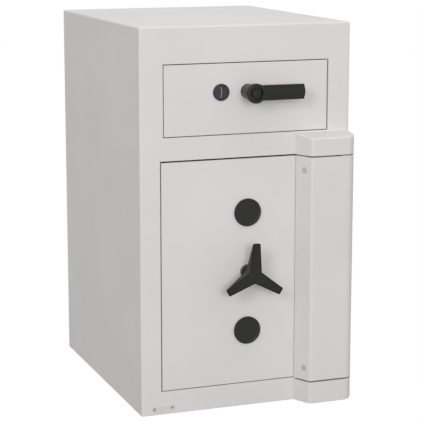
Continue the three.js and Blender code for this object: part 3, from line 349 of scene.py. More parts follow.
def powder_coat(name, pale, deep, roughness, peel):
    """The colour drifts from deep to pale. The height is mostly swell with a little grain, and the coat is
    rougher in patches, as if it had been handled there."""
    paint = Finish(name, Specular_IOR_Level=0.4)
    drift = paint.noise(drift_size, 3.0).between(0.3, 0.7)
    swell = paint.noise(swell_size, 1.5)
    grain = paint.noise(grain_size, 1.0)
    height = swell * 0.85 + grain * 0.15
    rough = roughness + 0.05 * paint.noise(handled_size, 3.0) + 0.04 * grain
    tint = paint.blend(drift, deep, pale)
    return paint.surface(height, swell_depth, peel, Base_Color=tint, Roughness=rough)


outside_pale, outside_deep = shade(216, 215, 213), shade(213, 211, 209)
inside_pale, inside_deep = shade(198, 198, 195), shade(192, 192, 189)
cabinet_paint = powder_coat("powder_coat_outside", outside_pale, outside_deep, 0.42, 0.10)
inner_paint = powder_coat("powder_coat_inside", inside_pale, inside_deep, 0.48, 0.12)
print("paints:", cabinet_paint.name, inner_paint.name)

# %% [markdown]
# ## Dark castings, metals and concrete
# The handles and discs are cast and sprayed satin black, so they have a tight grain and a soft shine. Steel
# and brass show lines from the tool that cut them, which a noise stretched along one axis gives. The filling of
# the walls is a poured mass with stones in it. The heads of screws and rivets are dull, so that they take their
# grey from the paint about them instead of a sharp reflection.

# %% The other finishes
def casting(name, pale, deep, roughness, grain_size, shine=0.3):
    """A sprayed coat with a grain of the given size in millimetres, and patches that drift in colour."""
    patch_size, rub_size, grain_depth = 14, 6, 0.06
    coat = Finish(name, Specular_IOR_Level=shine)
    grain = coat.noise(grain_size, 2.0)
    patch = coat.noise(patch_size, 3.0).between(0.25, 0.75)
    rough = roughness + 0.10 * coat.noise(rub_size, 2.0) + 0.06 * grain
    return coat.surface(grain, grain_depth, 0.55, Base_Color=coat.blend(patch, deep, pale), Roughness=rough)


def worked_metal(name, pale, deep, roughness, stretch):
    """Bare metal with tool lines along the axis that is stretched, and clouds of duller metal."""
    line_width, cloud_size, line_depth = 0.5, 18, 0.02
    metal = Finish(name, Metallic=1.0)
    lines = metal.noise(line_width, 3.0, stretch)
    cloud = metal.noise(cloud_size, 4.0).between(0.3, 0.75)
    rough = roughness + 0.16 * lines + 0.08 * cloud
    tint = metal.blend(cloud * 0.6 + lines * 0.4, deep, pale)
    return metal.surface(lines, line_depth, 0.5, Base_Color=tint, Roughness=rough)


def poured_filling(name):
    """Stones are the middles of Voronoi cells, and sand is a fine noise between them."""
    stone_size, sand_size = 11, 1.4
    mass = Finish(name, Specular_IOR_Level=0.2)
    stones = mass.node("TexVoronoi", values={"Vector": mass.place, "Scale": 1 / (stone_size * mm)})
    stone = 1 - stones.between(0.28, 0.42)
    sand = mass.noise(sand_size, 4.0)
    tint = mass.blend(stone * 0.5 + sand * 0.5, shade(128, 124, 117), shade(166, 162, 154))
    return mass.surface(sand * 0.6 + stone * 0.4, 0.8, 0.6, Base_Color=tint, Roughness=0.86 + 0.1 * sand)


charcoal = casting("satin_black_casting", shade(22, 21, 20), shade(17, 17, 16), 0.27, 0.45)
# The collar is cast in the same satin black as the handle. Its lighter colour is painted light, standing for
# light that the handle's shade keeps off it.
collar_painted_light = casting("satin_black_collar_painted_light", shade(92, 91, 89), shade(80, 79, 77), 0.4, 0.45)
disc_black = casting("satin_black_pressing", shade(24, 24, 23), shade(20, 20, 19), 0.36, 0.6)
lock_metal = casting("lock_dark_chrome", shade(56, 52, 56), shade(46, 44, 48), 0.30, 0.3)
# Black rubber for the door's seal and the column's foot. Its black also stands in for the shade deep in those
# gaps, so it is partly painted shade.
rubber_and_shade = casting("black_rubber_and_painted_shade", shade(34, 34, 33), shade(28, 28, 28), 0.7, 1.5, 0.2)
dull_zinc = casting("dull_zinc", shade(191, 190, 187), shade(183, 182, 179), 0.5, 0.8)
plate_grey = casting("satin_grey_plate", shade(209, 209, 207), shade(204, 204, 202), 0.36, 0.5)
rivet_grey = casting("rivet_grey", shade(162, 160, 157), shade(150, 148, 146), 0.5, 0.8)
steel_pale, steel_deep = shade(196, 197, 199), shade(168, 169, 172)
zinc_pale, zinc_deep = shade(190, 189, 182), shade(164, 163, 158)
bright_steel = worked_metal("bright_drawn_steel", steel_pale, steel_deep, 0.22, (60, 1, 1))
zinc_plate = worked_metal("zinc_plated_steel", zinc_pale, zinc_deep, 0.34, (1, 1, 1))
brass = worked_metal("bearing_brass", shade(203, 172, 104), shade(178, 146, 84), 0.28, (1, 1, 40))
filling = poured_filling("poured_filling")
print("dark and dull coats:", [m.name for m in (charcoal, collar_painted_light, disc_black, lock_metal, rubber_and_shade)])
print("metals:", [m.name for m in (bright_steel, zinc_plate, brass, dull_zinc, plate_grey, rivet_grey)])

# %% [markdown]
# ## The cabinet
# On the real safe the sides, the top, the back and the front are sheet that is folded, welded, ground and
# painted, so no seam shows. The five solids of the frame are therefore dressed by one shell. It is a block
# with rounded edges, hollowed from below, with two windows whose front edges are rounded too.

# %% The seamless shell
right, front, back, height = 280, -345, 345, 975
wall, front_wall = 4, 8
upright_round, top_round, foot_round = 5.2, 5, 0.6
plate_back = front + front_wall
plan = rectangle(-right, right, front, back, upright_round, 8)
rows = [(foot_round, 0.0), (0.0, foot_round)]
rows += [(drawn, height - short) for drawn, short in rim(top_round, 6)]
shell = stacked("cabinet_shell", plan, rows, "z")
hollow_plan = rectangle(-right + wall, right - wall, plate_back, back - wall)
hollow = plate("hollow_tool", hollow_plan, -20, height - wall, sharp, sharp, "z")


def window_tool(name, outline, flare=1.4):
    """A window outline pushed through the front plate, widening by a quarter round at the face."""
    behind, beyond = plate_back + 17.0, front - 20.0
    turn = np.linspace(0, np.pi / 2, 5)
    rows = [(0.0, behind)]
    rows += [(-flare * (1 - math.cos(a)), front + flare * (1 - math.sin(a))) for a in turn]
    rows += [(-flare, beyond)]
    return stacked(name, outline, rows, "y")


door_opening, drawer_opening = (-227.3, 176, 59, 645.1), (-219.1, 220.6, 703, 882.9)
door_window = window_tool("door_window_tool", rectangle(*door_opening))
drawer_window = window_tool("drawer_window_tool", rectangle(*drawer_opening))
cut_out(shell, [hollow, door_window, drawer_window])
fit(smoothed(shell, 30), "cabinet", cabinet_paint, "cabinet_paint",
    "left_side_panel", "right_side_panel", "top_panel", "back_panel", "front_frame")

# %% [markdown]
# ## The hinge column
# A sheet is folded into a column beside the door: it leans out from the door's face, runs flat and curls
# round the hinge axis. It turns with the door between two fixed caps. The column is one profile of constant
# thickness carried upwards. The caps have the same plan, and the upper one slopes down to the front.

# %% Plan of the column
column_left, column_front, slope_run, bend = 132.6, -395.0, 24.7, 6.5
hinge_x, hinge_y, nose = 256.0, -371.0, 24.0
slope_depth = front - column_front
slope_length = math.hypot(slope_run, slope_depth)
slope_foot, slope_head = (column_left, front), (column_left + slope_run, column_front)
corner = softened_path([slope_foot, slope_head, (hinge_x, column_front)], bend, 6, closed=False)


def nose_arc(end, steps=18):
    """The round nose: the hinge axis plus the nose radius times (cos a, sin a), from -90 degrees."""
    a = np.radians(np.linspace(-90, end, steps + 1))
    return np.array([hinge_x, hinge_y]) + nose * np.stack([np.cos(a), np.sin(a)], -1)


def sheet_outline(path, thickness, foot):
    """A path and the same path moved by the sheet's thickness to its left, joined into one outline.
    The foot is where the moved path starts."""
    step = np.gradient(path, axis=0)
    step /= np.linalg.norm(step, axis=1)[:, None]
    inner = path + thickness * np.stack([-step[:, 1], step[:, 0]], -1)
    inner[0] = foot
    return np.concatenate([path, inner[::-1]])


foot_gap, sheet, cover_low, cover_high = 2.0, 3.0, 59.9, 641.5
column_path = np.concatenate([corner[:-1], nose_arc(90, 30)])
column_path[0] += np.array([slope_run / slope_depth, -1]) * foot_gap
foot_reach = sheet * slope_length / slope_depth
cover_outline = sheet_outline(column_path, sheet, column_path[0] + (foot_reach, 0))
eased_edge = [(0.5, 0.0), (0.15, 0.15), (0.0, 0.5)]
cover_rows = [(drawn, cover_low + up) for drawn, up in eased_edge]
cover_rows += [(drawn, cover_high - down) for drawn, down in eased_edge[::-1]]
column_cover = stacked("column_cover", cover_outline, cover_rows, "z")
print("the column's plan has", len(cover_outline), "points")

# %% The two caps
cap_outline = np.concatenate([corner[:-1], nose_arc(0), [(right, front)]])


def cap(name, base, top, fall, base_rim, top_rim):
    """The plan pushed up to a top that falls by a length from the wall to the front. Each rim is drawn in,
    but the points on the cabinet's face stay on it. A rim's radius is one for all or one for each point."""
    rows = [(drawn * base_rim, 0, base + short * base_rim) for drawn, short in rim(1.0)[::-1]]
    rows += [(drawn * top_rim, 1, top - short * top_rim) for drawn, short in rim(1.0, 7)]
    rings = []
    for drawn, share, level in rows:
        ring = inset(cap_outline, drawn)
        ring[:, 1] = np.where(cap_outline[:, 1] >= front - tiny, front, ring[:, 1])
        rings.append(laid(ring, level + share * fall * (ring[:, 1] - front) / slope_depth, "z"))
    return skin(name, np.stack(rings))


upper_low, upper_high, upper_fall, lower_high = 644.6, 699, 9, 55.9
small_rim, large_rim, nose_rim = 0.8, 4.0, 7.0
foot_rim = np.interp(cap_outline[:, 0], [hinge_x - 4, right - 2], [small_rim, nose_rim])
upper_cap = cap("upper_cap", upper_low, upper_high, upper_fall, small_rim, large_rim)
lower_cap = cap("lower_cap", 0, lower_high, 0, foot_rim, small_rim)
pin_bore, pin_depth = 8.3, 36
pin_hole = [(pin_bore, -5), (pin_bore, pin_depth)]
for piece, z, way in ((upper_cap, upper_low, 1), (lower_cap, lower_high, -1)):
    cut_out(piece, [turned("pin_tool", pin_hole, (hinge_x, hinge_y, z), (0, 0, way), 32)])
fit(smoothed(upper_cap), "cabinet", cabinet_paint, "cabinet_paint", "upper_hinge_cap")
fit(smoothed(lower_cap), "cabinet", cabinet_paint, "cabinet_paint", "lower_hinge_cap")

# %% Countersunk screws of the column
lean = np.array([-slope_depth, -slope_run, 0.0]) / slope_length
screw_places = [(145.9, -372.0, 606.5), (147.9, -376.0, 91.8)]
sink_radius, head_radius, shank = 8.8, 8.6, 2.7
sink = [(sink_radius, 1.0), (sink_radius, 0.0), (shank + 0.2, -2.6), (shank + 0.2, -4.5)]
cone = [(head_radius, -0.2), (head_radius, -0.3), (shank, -2.5), (shank, -6.0)]
socket = [(0.3, -1.7), (2.4, -1.7), (2.6, -0.5), (3.1, -0.2), (8.3, -0.12)]
head = np.concatenate([socket, softened_path(cone, 0.1, 3, closed=False)])
cut_out(column_cover, [turned("sink_tool", sink, place, lean, 40) for place in screw_places])
fit(smoothed(column_cover), "door", cabinet_paint, "cabinet_paint", "hinge_column_cover")
screws = together("column_screws", [turned("screw", head, place, lean, 36) for place in screw_places])
fit(smoothed(screws), "door", dull_zinc, "zinc_plate")

# %% [markdown]
# ## Door and drawer fronts
# Both are thick flat plates whose edges are ground off before painting. The holes for the spindles, the keys
# and the lock go right through, so that the one behind a keyhole is dark when its cover is swung aside.

# %% The two plates
axis_x, handle_z, drawer_z, lock_x = 2.0, 352.1, 810.0, -68.5
lock_heights = [199.4, 504.8]
back_rim, door_rim, drawer_rim = 0.5, 1.3, 1.2
handle_bore, key_bore, lever_bore, lock_bore = 7.6, 11.5, 6.5, 19.35


def hole_tool(x, z, radius):
    """A round rod that goes right through a front plate."""
    return turned("hole_tool", [(radius, -30), (radius, 30)], (x, front, z), count=48)


door_outline, drawer_outline = rectangle(-224.8, 170, 61.2, 641.3), rectangle(-217.1, 217.4, 705, 880.9)
door_face = plate("door_face", door_outline, plate_back, front, back_rim, door_rim)
cut_out(door_face, [hole_tool(axis_x, handle_z, handle_bore)]
        + [hole_tool(axis_x, z, key_bore) for z in lock_heights])
fit(smoothed(door_face), "door", cabinet_paint, "cabinet_paint", "door_plate")
drawer_face = plate("drawer_face", drawer_outline, plate_back, front, back_rim, drawer_rim)
cut_out(drawer_face, [hole_tool(axis_x, drawer_z, lever_bore), hole_tool(lock_x, drawer_z, lock_bore)])
fit(smoothed(drawer_face), "drawer", cabinet_paint, "cabinet_paint", "drawer_front")

# %% [markdown]
# ## Dark rubber in the joints, and painted shade
# A flat black seal lies on the step behind the door's edge, so the joint round the door looks dark. Its black
# is a seal and also painted shade, for the shade deep in the gap. A narrow black bead fills the foot of the
# column, where there is only a shadow gap, so it is painted shade. Both are thin strips, pushed out of an
# outline.

# %% Seal and bead, as painted shade
seal_outside, seal_inside = rectangle(-227.0, 175.5, 59.5, 645.6), rectangle(-220.5, 169, 66, 639)
seal_back, seal_face = plate_back + 2.1, plate_back + 0.8
# The seal darkens the gap round the door: a seal, and painted shade for the depth of the gap.
door_seal_shade = plate("door_seal_shade", seal_outside, seal_back, seal_face, 0.1, 0.4)
cut_out(door_seal_shade, [plate("seal_tool", seal_inside, seal_back + 5, seal_face - 4, sharp, sharp)])
fit(smoothed(door_seal_shade), "cabinet", rubber_and_shade, "charcoal_castings")
# This bead is painted shade: a black strip where the column's foot only leaves a shadow gap on the door.
foot_shade_plan = rectangle(column_left + 1.4, column_left + 3.4, front - 1.9, front + 0.3, 0.5, 3)
foot_shade_strip = plate("foot_shade_strip", foot_shade_plan, 61.5, 641, 0.2, 0.2, "z")
fit(smoothed(foot_shade_strip), "door", rubber_and_shade, "charcoal_castings")

# %% [markdown]
# ## Key plates and their covers
# Behind each round cover sits a flat plate with a keyhole and a stud. The cover hangs on the stud near its top.
# It is a shallow dish with a rolled rim, so it is turned from a profile, and the stud's hole is cut afterwards.

# %% Covers and key plates
cover_base, cover_radius, key_plate_radius, plate_thickness = front - 2.3, 35.5, 32, 2.0
stud_rise, stud_radius, bow_radius, slot_half, slot_drop = 25, 3.0, 4, 2, 10
dish_corners = [(0.4, 0.0), (cover_radius, 0.0), (cover_radius, 4.2), (30.6, 4.2), (28.8, 3.3), (0.4, 3.9)]
dish = softened_path(dish_corners, [0, 0.6, 1.8, 1.4, 2.6, 0], 6, closed=False)
plate_corners = [(0.4, 0.0), (key_plate_radius, 0.0), (key_plate_radius, plate_thickness),
                 (0.4, plate_thickness)]
plate_profile = softened_path(plate_corners, [0, 0, 0.8, 0], 4, closed=False)
stud_corners = [(0.3, -1.5), (stud_radius, -1.5), (stud_radius, 2.2), (0.3, 2.2)]
stud_profile = softened_path(stud_corners, [0, 0, 0.6, 0], 3, closed=False)
stud_hole = [(stud_radius + 0.4, -5), (stud_radius + 0.4, 2.35)]
for side, z in zip(("lower", "upper"), lock_heights):
    disc = turned(side + "_cover_disc", dish, (axis_x, cover_base, z), count=96)
    cut_out(disc, [turned("stud_tool", stud_hole, (axis_x, cover_base, z + stud_rise), count=40)])
    fit(smoothed(disc, 50), side + "_cover", disc_black, "charcoal_castings", side + "_keyhole_cover")
    base = turned(side + "_key_plate", plate_profile, (axis_x, front, z), count=80)
    bow = turned("bow", [(bow_radius, -8), (bow_radius, 8)], (axis_x, front, z), count=40)
    slot_outline = rectangle(axis_x - slot_half, axis_x + slot_half, z - slot_drop, z)
    cut_out(base, [bow, plate("slot", slot_outline, front + 8, front - 8, sharp, sharp)])
    stud = turned("stud", stud_profile, (axis_x, front - plate_thickness, z + stud_rise), count=32)
    fit(smoothed(together(side + "_key_plate", [base, stud])), "door", charcoal, "charcoal_castings",
        side + "_escutcheon")

# %% [markdown]
# ## The three-spoke handle
# Three straight arms narrow to blunt tips and meet in sharp notches, so the face is a lean star. The whole
# handle leans a little clockwise. The front is flat, with a fine groove along its edge. The back rises towards
# the tips, so that an arm is 25 mm deep at the hub and 5 mm at its end. Every point of the outline can be seen
# from the centre, so smaller copies of it fill the front and the back without crossing. Each side is cut into
# thirds first, so that the faces between two copies aren't too long.

# %% Outline and body of the handle
spokes, reach, notch_reach, tip_half, lean_angle = 3, 83.0, 18.8, 9.3, math.pi / 72
notch_round, tip_round = 2.5, 3.8
half_turn = math.pi / spokes
arm = np.array([(notch_reach * math.cos(half_turn), -notch_reach * math.sin(half_turn)),
                (reach, -tip_half), (reach, tip_half)])
arm_round = np.tile([notch_round, tip_round, tip_round], spokes)
angles = np.pi / 2 - lean_angle + 2 * half_turn * np.arange(spokes)
turns = np.stack([np.cos(angles), -np.sin(angles), np.sin(angles), np.cos(angles)], -1).reshape(-1, 2, 2)
star = softened_path(np.einsum("kij,pj->kpi", turns, arm).reshape(-1, 2), arm_round, 6)
thirds = np.array([0, 1, 2])[None, :, None] / 3
star = (star[:, None] * (1 - thirds) + np.roll(star, -1, 0)[:, None] * thirds).reshape(-1, 2)
face_y, centre = front - 60.0, np.array([axis_x, handle_z])
hub_depth, hub_reach, taper, taper_reach = 25.0, 17.0, 21.8, reach + 5.0


def back_depth(points):
    """How deep the handle is at a place: full up to the hub's reach, then less in step with the distance."""
    away = np.linalg.norm(points, axis=1)
    return hub_depth - taper * np.clip((away - hub_reach) / (taper_reach - hub_reach), 0, 1)


def handle_ring(drawn, share, depth=None, short=0.0):
    """The outline drawn in and shrunk to a share, at a fixed depth, or at the back less a little."""
    points = inset(star, drawn) * share
    level = face_y + (back_depth(points) - short if depth is None else depth)
    return laid(points + centre, level, "y")


shares, edge_groove = (0.04, 0.3, 0.6, 0.85), [(2.7, 0.0), (2.5, 0.1), (1.9, 1.4), (1.6, 1.4)]
front_edge, back_edge = 0.9, 1.0
front_rows = [handle_ring(edge_groove[0][0], share, 0.0) for share in shares]
front_rows += [handle_ring(drawn, 1, depth) for drawn, depth in edge_groove]
front_rows += [handle_ring(drawn, 1, short) for drawn, short in rim(front_edge)[::-1]]
back_rows = [handle_ring(drawn, 1, None, short) for drawn, short in rim(back_edge)]
back_rows += [handle_ring(back_edge, share) for share in shares[::-1]]
star_body = skin("star_body", np.stack(front_rows + back_rows))
hub_profile = softened_path([(0.4, 0.0), (13, 0.0), (13, 33.0), (0.4, 33.0)], [0, 1.0, 0, 0], 4, closed=False)
hub = turned("hub", hub_profile, (axis_x, front - 4.3, handle_z), count=72)
fit(smoothed(together("spoke_handle", [star_body, hub]), 50), "door_handle", charcoal, "charcoal_castings",
    "three_spoke_handle")

# %% Collar behind the handle
collar_corners = [(handle_bore, 0.0), (18.2, 0.0), (18.2, 4.0), (15.4, 4.0), (15.0, 3.3), (handle_bore, 3.3)]
collar_loop = softened_path(collar_corners, [0, 0, 1.5, 0.5, 0.5, 0], 5)
collar = turned("spoke_collar", collar_loop, (axis_x, front, handle_z), count=72, loop=True)
# Its finish is the handle's black made lighter: painted light where the handle shades the collar.
fit(smoothed(collar, 50), "door", collar_painted_light, "charcoal_castings", "handle_collar")

# %% [markdown]
# ## The drawer's lever and lock
# The lever is one casting: a barrel that widens to the front, a cap with a groove round a low boss, and a bar
# to the right with a crowned face between two narrow rims. The bar is its section carried to the right while it
# loses one millimetre of height. Its end bulges a little and is rounded like the rim of a plate.

# %% The lever
cap_front, barrel_back = front - 62.0, front - 2.3
barrel_profile = [(0.4, 0), (17.8, 0), (21.4, 52.7), (0.4, 52.7)]
barrel = turned("barrel", barrel_profile, (axis_x, barrel_back, drawer_z), count=72)
cap_outside = [(0.4, -0.5), (23.6, -0.5), (24.4, 0.6), (24.4, 14.0)]
cap_face = [(17.2, 14.0), (16.4, 5.0), (10.6, 5.0), (10.2, 11.6), (0.4, 12.2)]
cap_round = [0, 0.6, 1.0, 3.2, 1.2, 0.8, 0.8, 1.6, 0]
cap_profile = softened_path(cap_outside + cap_face, cap_round, 5, closed=False)
cap_disc = turned("cap_disc", cap_profile, (axis_x, cap_front + 14, drawer_z), count=84)
bar_back, bar_half, bar_reach = cap_front + 20.0, 19.0, 133.0
rim_face, rim_width, crown_edge, crown_rise = bar_back - 10.2, 1.6, bar_back - 8, 4
across = np.linspace(-1, 1, 17)
crown = np.stack([crown_edge - crown_rise * (1 - across ** 2), across * (bar_half - rim_width)], -1)[1:-1]
section = np.concatenate([[(bar_back, bar_half), (bar_back, -bar_half)],
                          [(rim_face, -bar_half), (rim_face, rim_width - bar_half)],
                          crown,
                          [(rim_face, bar_half - rim_width), (rim_face, bar_half)]])
section = softened_path(section, [2.0, 2.0, 0.7, 0.5] + [0.1] * len(crown) + [0.5, 0.7], 3)
along = [(0.0, 0.0), (0.0, 30.0), (0.0, 70.0), (0.0, 110.0)]
along += [(drawn, bar_reach - short) for drawn, short in rim(1.5)]
lost_height, end_bulge = 1.0, 2.5


def bar_ring(drawn, distance):
    """The section at a distance along the bar, which has lost its share of the height. Towards the end the
    middle runs ahead of the edges, in step with the square of the height."""
    share = distance / bar_reach
    ring = inset(section[::-1], drawn)[::-1] * np.array([1, 1 - lost_height * share / (2 * bar_half)])
    bulge = end_bulge * (ring[:, 1] / bar_half) ** 2 * share
    return laid(ring + np.array([0, drawer_z]), axis_x + distance - bulge, "x")


bar = skin("bar", np.stack([bar_ring(drawn, distance) for drawn, distance in along]))
fit(smoothed(together("lever_casting", [barrel, cap_disc, bar]), 50), "drawer_lever", charcoal,
    "charcoal_castings", "lever_handle")
rose_corners = [(lever_bore, 0.0), (18.4, 0.0), (18.4, 2.0), (lever_bore, 2.0)]
rose_loop = softened_path(rose_corners, [0, 0, 0.8, 0], 4)
rose = turned("lever_washer", rose_loop, (axis_x, front, drawer_z), count=72, loop=True)
fit(smoothed(rose), "drawer", charcoal, "charcoal_castings", "lever_rose")

# %% The round lock
ring_bore, ring_radius, flange_radius, core_radius, lock_depth = 17.35, 19, 21.25, 17, 29
ring_corners = [(ring_bore, -lock_depth), (ring_radius, -lock_depth), (ring_radius, 0.0),
                (flange_radius, 0.0), (flange_radius, 3.5), (ring_bore, 3.5)]
lock_loop = softened_path(ring_corners, [0, 0, 0, 0, 1.3, 0.3], 4)
lock_ring = turned("lock_collar", lock_loop, (lock_x, front, drawer_z), count=72, loop=True)
fit(smoothed(lock_ring), "drawer", lock_metal, "lock_metal", "lock_cylinder_body")


def keyway_outline(width, tall):
    """A tall slot whose middle line bows to the right as 3 sin(pi t) - 1.4 from its foot to its head."""
    t = np.linspace(0, 1, 25)
    middle = np.stack([lock_x + 3.0 * np.sin(np.pi * t) - 1.4, drawer_z + tall * (t - 0.5)], -1)
    half = np.array([width / 2, 0])
    return np.concatenate([middle + half, (middle - half)[::-1]])


core_corners = [(0.3, -lock_depth), (core_radius, -lock_depth), (core_radius, 2.9), (0.3, 2.9)]
core_profile = softened_path(core_corners, [0, 0, 0.5, 0], 4, closed=False)
core = turned("lock_core", core_profile, (lock_x, front, drawer_z), count=72)
cut_out(core, [plate("keyway_tool", keyway_outline(3.2, 28), front + 6.1, front - 8, sharp, sharp)])
tongue_outline = rectangle(lock_x - 6, lock_x + 6, drawer_z - 28, drawer_z + 6, 1.5, 3)
tongue = plate("tongue", tongue_outline, front + lock_depth, front + lock_depth + 3, 0.3, 0.3)
fit(smoothed(together("lock_core", [core, tongue])), "drawer_lock", lock_metal, "lock_metal", "lock_plug")
ward = plate("lock_ward", keyway_outline(1.4, 26.0), front + 4.0, front - 2.2, 0.1, 0.3)
fit(smoothed(ward), "drawer_lock", dull_zinc, "bright_steel")

# %% [markdown]
# ## Small fasteners
# Two rivets hold a small bare plate low on the front frame, and pan-headed screws hold the cover inside the
# door. They are tiny, but the eye looks for them. The plate is an outline pushed out by less than a millimetre,
# and each head is a turned dome.

# %% Plate, rivets and screws
small_outline = rectangle(-252, -190, 7.0, 22.8, 2.0, 3)
small_plate = plate("small_plate", small_outline, front + 0.3, front - 0.7, 0.05, 0.25)
fit(smoothed(small_plate), "cabinet", plate_grey, "zinc_plate")
rivet_places = [(-246.6, 15.0), (-199.5, 16.6)]
dome = softened_path([(0.2, -1.5), (4.4, -1.5), (4.4, 0.1), (3.2, 0.95), (0.2, 1.2)],
                     [0, 0, 0.7, 0.8, 0], 4, closed=False)
rivets = [turned("rivet", dome, (x, front - 0.5, z), count=28) for x, z in rivet_places]
fit(smoothed(together("frame_rivets", rivets), 60), "cabinet", rivet_grey, "charcoal_castings")
inner_cover_y, screw_columns, screw_rows = -238.0, (-163.0, 143.0), (107.0, 270.0, 434.5, 597.5)
pan_head = softened_path([(1.1, -0.2), (1.1, 1.1), (1.5, 1.9), (3.2, 1.9), (4.2, 0.8), (4.2, -0.4)],
                         [0, 0.1, 0.3, 1.0, 0.5, 0], 4, closed=False)
spots = [(x, inner_cover_y, z) for x in screw_columns for z in screw_rows]
heads = [turned("pan", pan_head, spot, (0, 1, 0), 28) for spot in spots]
fit(smoothed(together("inner_cover_screws", heads), 50), "door", zinc_plate, "zinc_plate")

# %% [markdown]
# ## The bolts
# Three round bars slide out of the door's left edge into the cabinet. Their noses are chamfered so that they
# find their holes, which is why they are turned from a profile and not left as plain rods.

# %% Three bolts
bolt_radius, nose_radius, bolt_length, chamfer = 11, 8.6, 53.0, 2.4
bolt_corners = [(0.4, 0.0), (bolt_radius, 0.0), (bolt_radius, bolt_length - chamfer),
                (nose_radius, bolt_length), (0.4, bolt_length)]
bolt_profile = softened_path(bolt_corners, [0, 0.3, 0.8, 0.8, 0], 4, closed=False)
for node in ("lower_bolt", "middle_bolt", "upper_bolt"):
    low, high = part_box(node)
    middle = (high[0] / mm, (low[1] + high[1]) / 2 / mm, (low[2] + high[2]) / 2 / mm)
    bolt = turned(node + "_bar", bolt_profile, middle, (-1, 0, 0), count=64)
    fit(smoothed(bolt), "bolt_work", bright_steel, "bright_steel", node)

# %% [markdown]
# ## Folded sheet inside
# What shows when the door or the drawer is open is folded and welded sheet. Its solids have the right shape
# but knife edges, so a merged copy of each gets the Bevel modifier, which rounds the folds by less than a
# millimetre and catches the light.

# %% Copies with eased folds
same_corner, same_plane, fold = 1e-6, 1, 40  # metres, degrees, degrees


def eased(node, body, finish, slot, width=0.7):
    """Copies a solid, merges the triangles that lie in one plane, and rounds each fold by the width."""
    copy = bpy.data.objects.new(node + "_eased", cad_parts[node].data.copy())
    bpy.context.scene.collection.objects.link(copy)
    work = bmesh.new()
    work.from_mesh(copy.data)
    bmesh.ops.remove_doubles(work, verts=work.verts, dist=same_corner)
    bmesh.ops.dissolve_limit(work, angle_limit=math.radians(same_plane), verts=work.verts, edges=work.edges)
    work.to_mesh(copy.data)
    work.free()
    if copy.data.has_custom_normals:
        copy.data.attributes.remove(copy.data.attributes["custom_normal"])
    bevel = copy.modifiers.new("ease", "BEVEL")
    bevel.width, bevel.segments, bevel.limit_method = width * mm, 2, "ANGLE"
    bevel.angle_limit = math.radians(fold)
    fit(smoothed(copy, 50), body, finish, slot, node)


for node in ("door_pan", "bolt_frame", "door_inner_cover"):
    eased(node, "door", inner_paint, "inner_paint")
for node in ("drawer_inner_wall", "left_drawer_side", "right_drawer_side", "drawer_rear_wall"):
    eased(node, "drawer", inner_paint, "inner_paint", 0.5)
eased("inner_front_panel", "cabinet", inner_paint, "inner_paint", 0.8)
eased("door_rebate", "cabinet", cabinet_paint, "cabinet_paint", 0.8)
eased("drawer_throat", "cabinet", cabinet_paint, "cabinet_paint", 0.5)

# %% [markdown]
# ## Finishes for the solids that stay
# The rest of the works are plain machined blocks, racks and rails, right as they are. Each only needs the
# finish that its real counterpart has.

# %% Dress the carried-over solids
stays = {
    "base_panel": cabinet_paint, "barrier_fill": filling, "door_fill": filling, "inner_liner": inner_paint,
    "divider_shelf": inner_paint, "anti_fish_baffle": inner_paint, "storage_shelf": inner_paint,
    "trap_floor": zinc_plate, "latch_keeper": zinc_plate, "left_runner": zinc_plate, "right_runner": zinc_plate,
    "left_drawer_rail": bright_steel, "right_drawer_rail": bright_steel, "lower_lock_case": zinc_plate,
    "upper_lock_case": zinc_plate, "left_fixed_rack": bright_steel, "right_fixed_rack": bright_steel,
    "hinge_bar": cabinet_paint, "upper_hinge_pin": bright_steel, "lower_hinge_pin": bright_steel,
    "thrust_washer": brass, "handle_spindle": bright_steel, "bolt_pinion": bright_steel,
    "bolt_carriage": zinc_plate, "latch_cam": zinc_plate, "drive_pinion_shaft": bright_steel,
}
for node, finish in stays.items():
    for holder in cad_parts[node].material_slots:
        holder.material = finish
left_over = [name for name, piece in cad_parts.items() if not piece.hide_render and name not in stays]
print("solids that stay:", len(stays), "not yet dressed:", left_over)

# %% [markdown]
# ## Light, floor and camera
# The photograph is a studio cut-out. A bright sky gives an even share of the light. Two large soft lamps, one
# near the camera and one further to the left, throw the weak shadows to the right of the handle and the lever.
# A small one overhead makes the top the lightest face. The left one isn't mirrored, because it would glare on
# the top when the safe is seen from behind. The floor looks white to the camera because part of what the camera
# sees of it is its own white, and the rest is the light it catches, so a shadow still shows. The uprights of
# the safe run almost level with the picture's sides, so the lens is shifted down a little instead of tilted
# further. All of this is far larger than the safe, so it is given in metres.

# %% Sky and lamps
sky_light, sky_seen = 0.626, 1.0


def seen(tree):
    """1 for a ray from the camera and for one that is mirrored or let through, and 0 for all others."""
    ray = tree.nodes.new("ShaderNodeLightPath")
    total = ray.outputs["Is Camera Ray"]
    for kind in ("Is Glossy Ray", "Is Transmission Ray"):
        add = tree.nodes.new("ShaderNodeMath")
        add.operation, add.use_clamp = "ADD", True
        tree.links.new(total, add.inputs[0])
        tree.links.new(ray.outputs[kind], add.inputs[1])
        total = add.outputs[0]
    return total


world = bpy.data.worlds.new("studio")
bpy.context.scene.world = world
world.use_nodes = True
sky = world.node_tree
level = sky.nodes.new("ShaderNodeMapRange")
level.inputs["To Min"].default_value, level.inputs["To Max"].default_value = sky_light, sky_seen
sky.links.new(seen(sky), level.inputs["Value"])
sky.nodes["Background"].inputs["Color"].default_value = (1, 1, 1, 1)
sky.links.new(level.outputs[0], sky.nodes["Background"].inputs["Strength"])


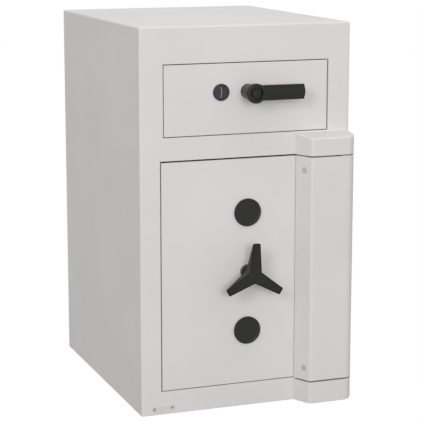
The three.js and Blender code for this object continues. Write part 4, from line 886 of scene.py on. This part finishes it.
def lamp(name, place, target, size, watts):
    """A round, flat lamp that looks at its target."""
    light = bpy.data.lights.new(name, "AREA")
    light.shape, light.size, light.energy = "DISK", size, watts
    holder = bpy.data.objects.new(name, light)
    bpy.context.scene.collection.objects.link(holder)
    direction = Vector(target) - Vector(place)
    holder.location, holder.rotation_euler = place, direction.to_track_quat("-Z", "Y").to_euler()
    return holder


front_middle, safe_middle = (0, -0.3, 0.5), (0, -0.2, 0.5)
lamp("left", (-4.65, -5.47, 3.31), front_middle, 2.4, 140).visible_glossy = False
lamp("front", (-1.02, -7.57, 2.06), front_middle, 3.0, 179)
lamp("overhead", (0.0, -0.5, 3.4), safe_middle, 1.2, 11.7)
print("the sky lights at", sky_light)

# %% Floor
floor_half, floor_drop, floor_glow, own_share = 12.0, 0.0005, 1.32, 0.72
corners = laid(rectangle(-floor_half, floor_half, -floor_half, floor_half), -floor_drop, "z")
floor = mesh_piece("floor", corners / mm, [(0, 1, 2, 3)])
ground = bpy.data.materials.new("studio_floor")
ground.use_nodes = True
tree = ground.node_tree
tree.nodes.remove(tree.nodes["Principled BSDF"])
glow, catch, mix = (tree.nodes.new("ShaderNode" + kind) for kind in ("Emission", "BsdfDiffuse", "MixShader"))
glow.inputs["Strength"].default_value = floor_glow
catch.inputs["Color"].default_value = shade(140, 140, 139)
part = tree.nodes.new("ShaderNodeMath")
part.operation, part.inputs[1].default_value = "MULTIPLY", own_share
tree.links.new(seen(tree), part.inputs[0])
tree.links.new(part.outputs[0], mix.inputs["Fac"])
tree.links.new(catch.outputs[0], mix.inputs[1])
tree.links.new(glow.outputs[0], mix.inputs[2])
tree.links.new(mix.outputs[0], tree.nodes["Material Output"].inputs["Surface"])
floor.data.materials.append(ground)
print("the floor lies", floor_drop / mm, "mm under the safe")

# %% Camera at the photograph's place
camera = bpy.data.cameras.new("camera")
camera.sensor_width, camera.lens, camera.clip_end, camera.shift_y = 36.0, 133.151, 60.0, -0.03
eye = bpy.data.objects.new("camera", camera)
bpy.context.scene.collection.objects.link(eye)
yaw, pitch = 0.35647, 0.18489
eye.location = (-1.426, -3.91988, 1.25962)
eye.rotation_euler = (math.pi / 2 - pitch, 0, -yaw)
bpy.context.scene.camera = eye
bpy.context.scene.view_settings.view_transform = "Standard"
print("the camera looks down by", round(math.degrees(pitch), 2), "degrees")
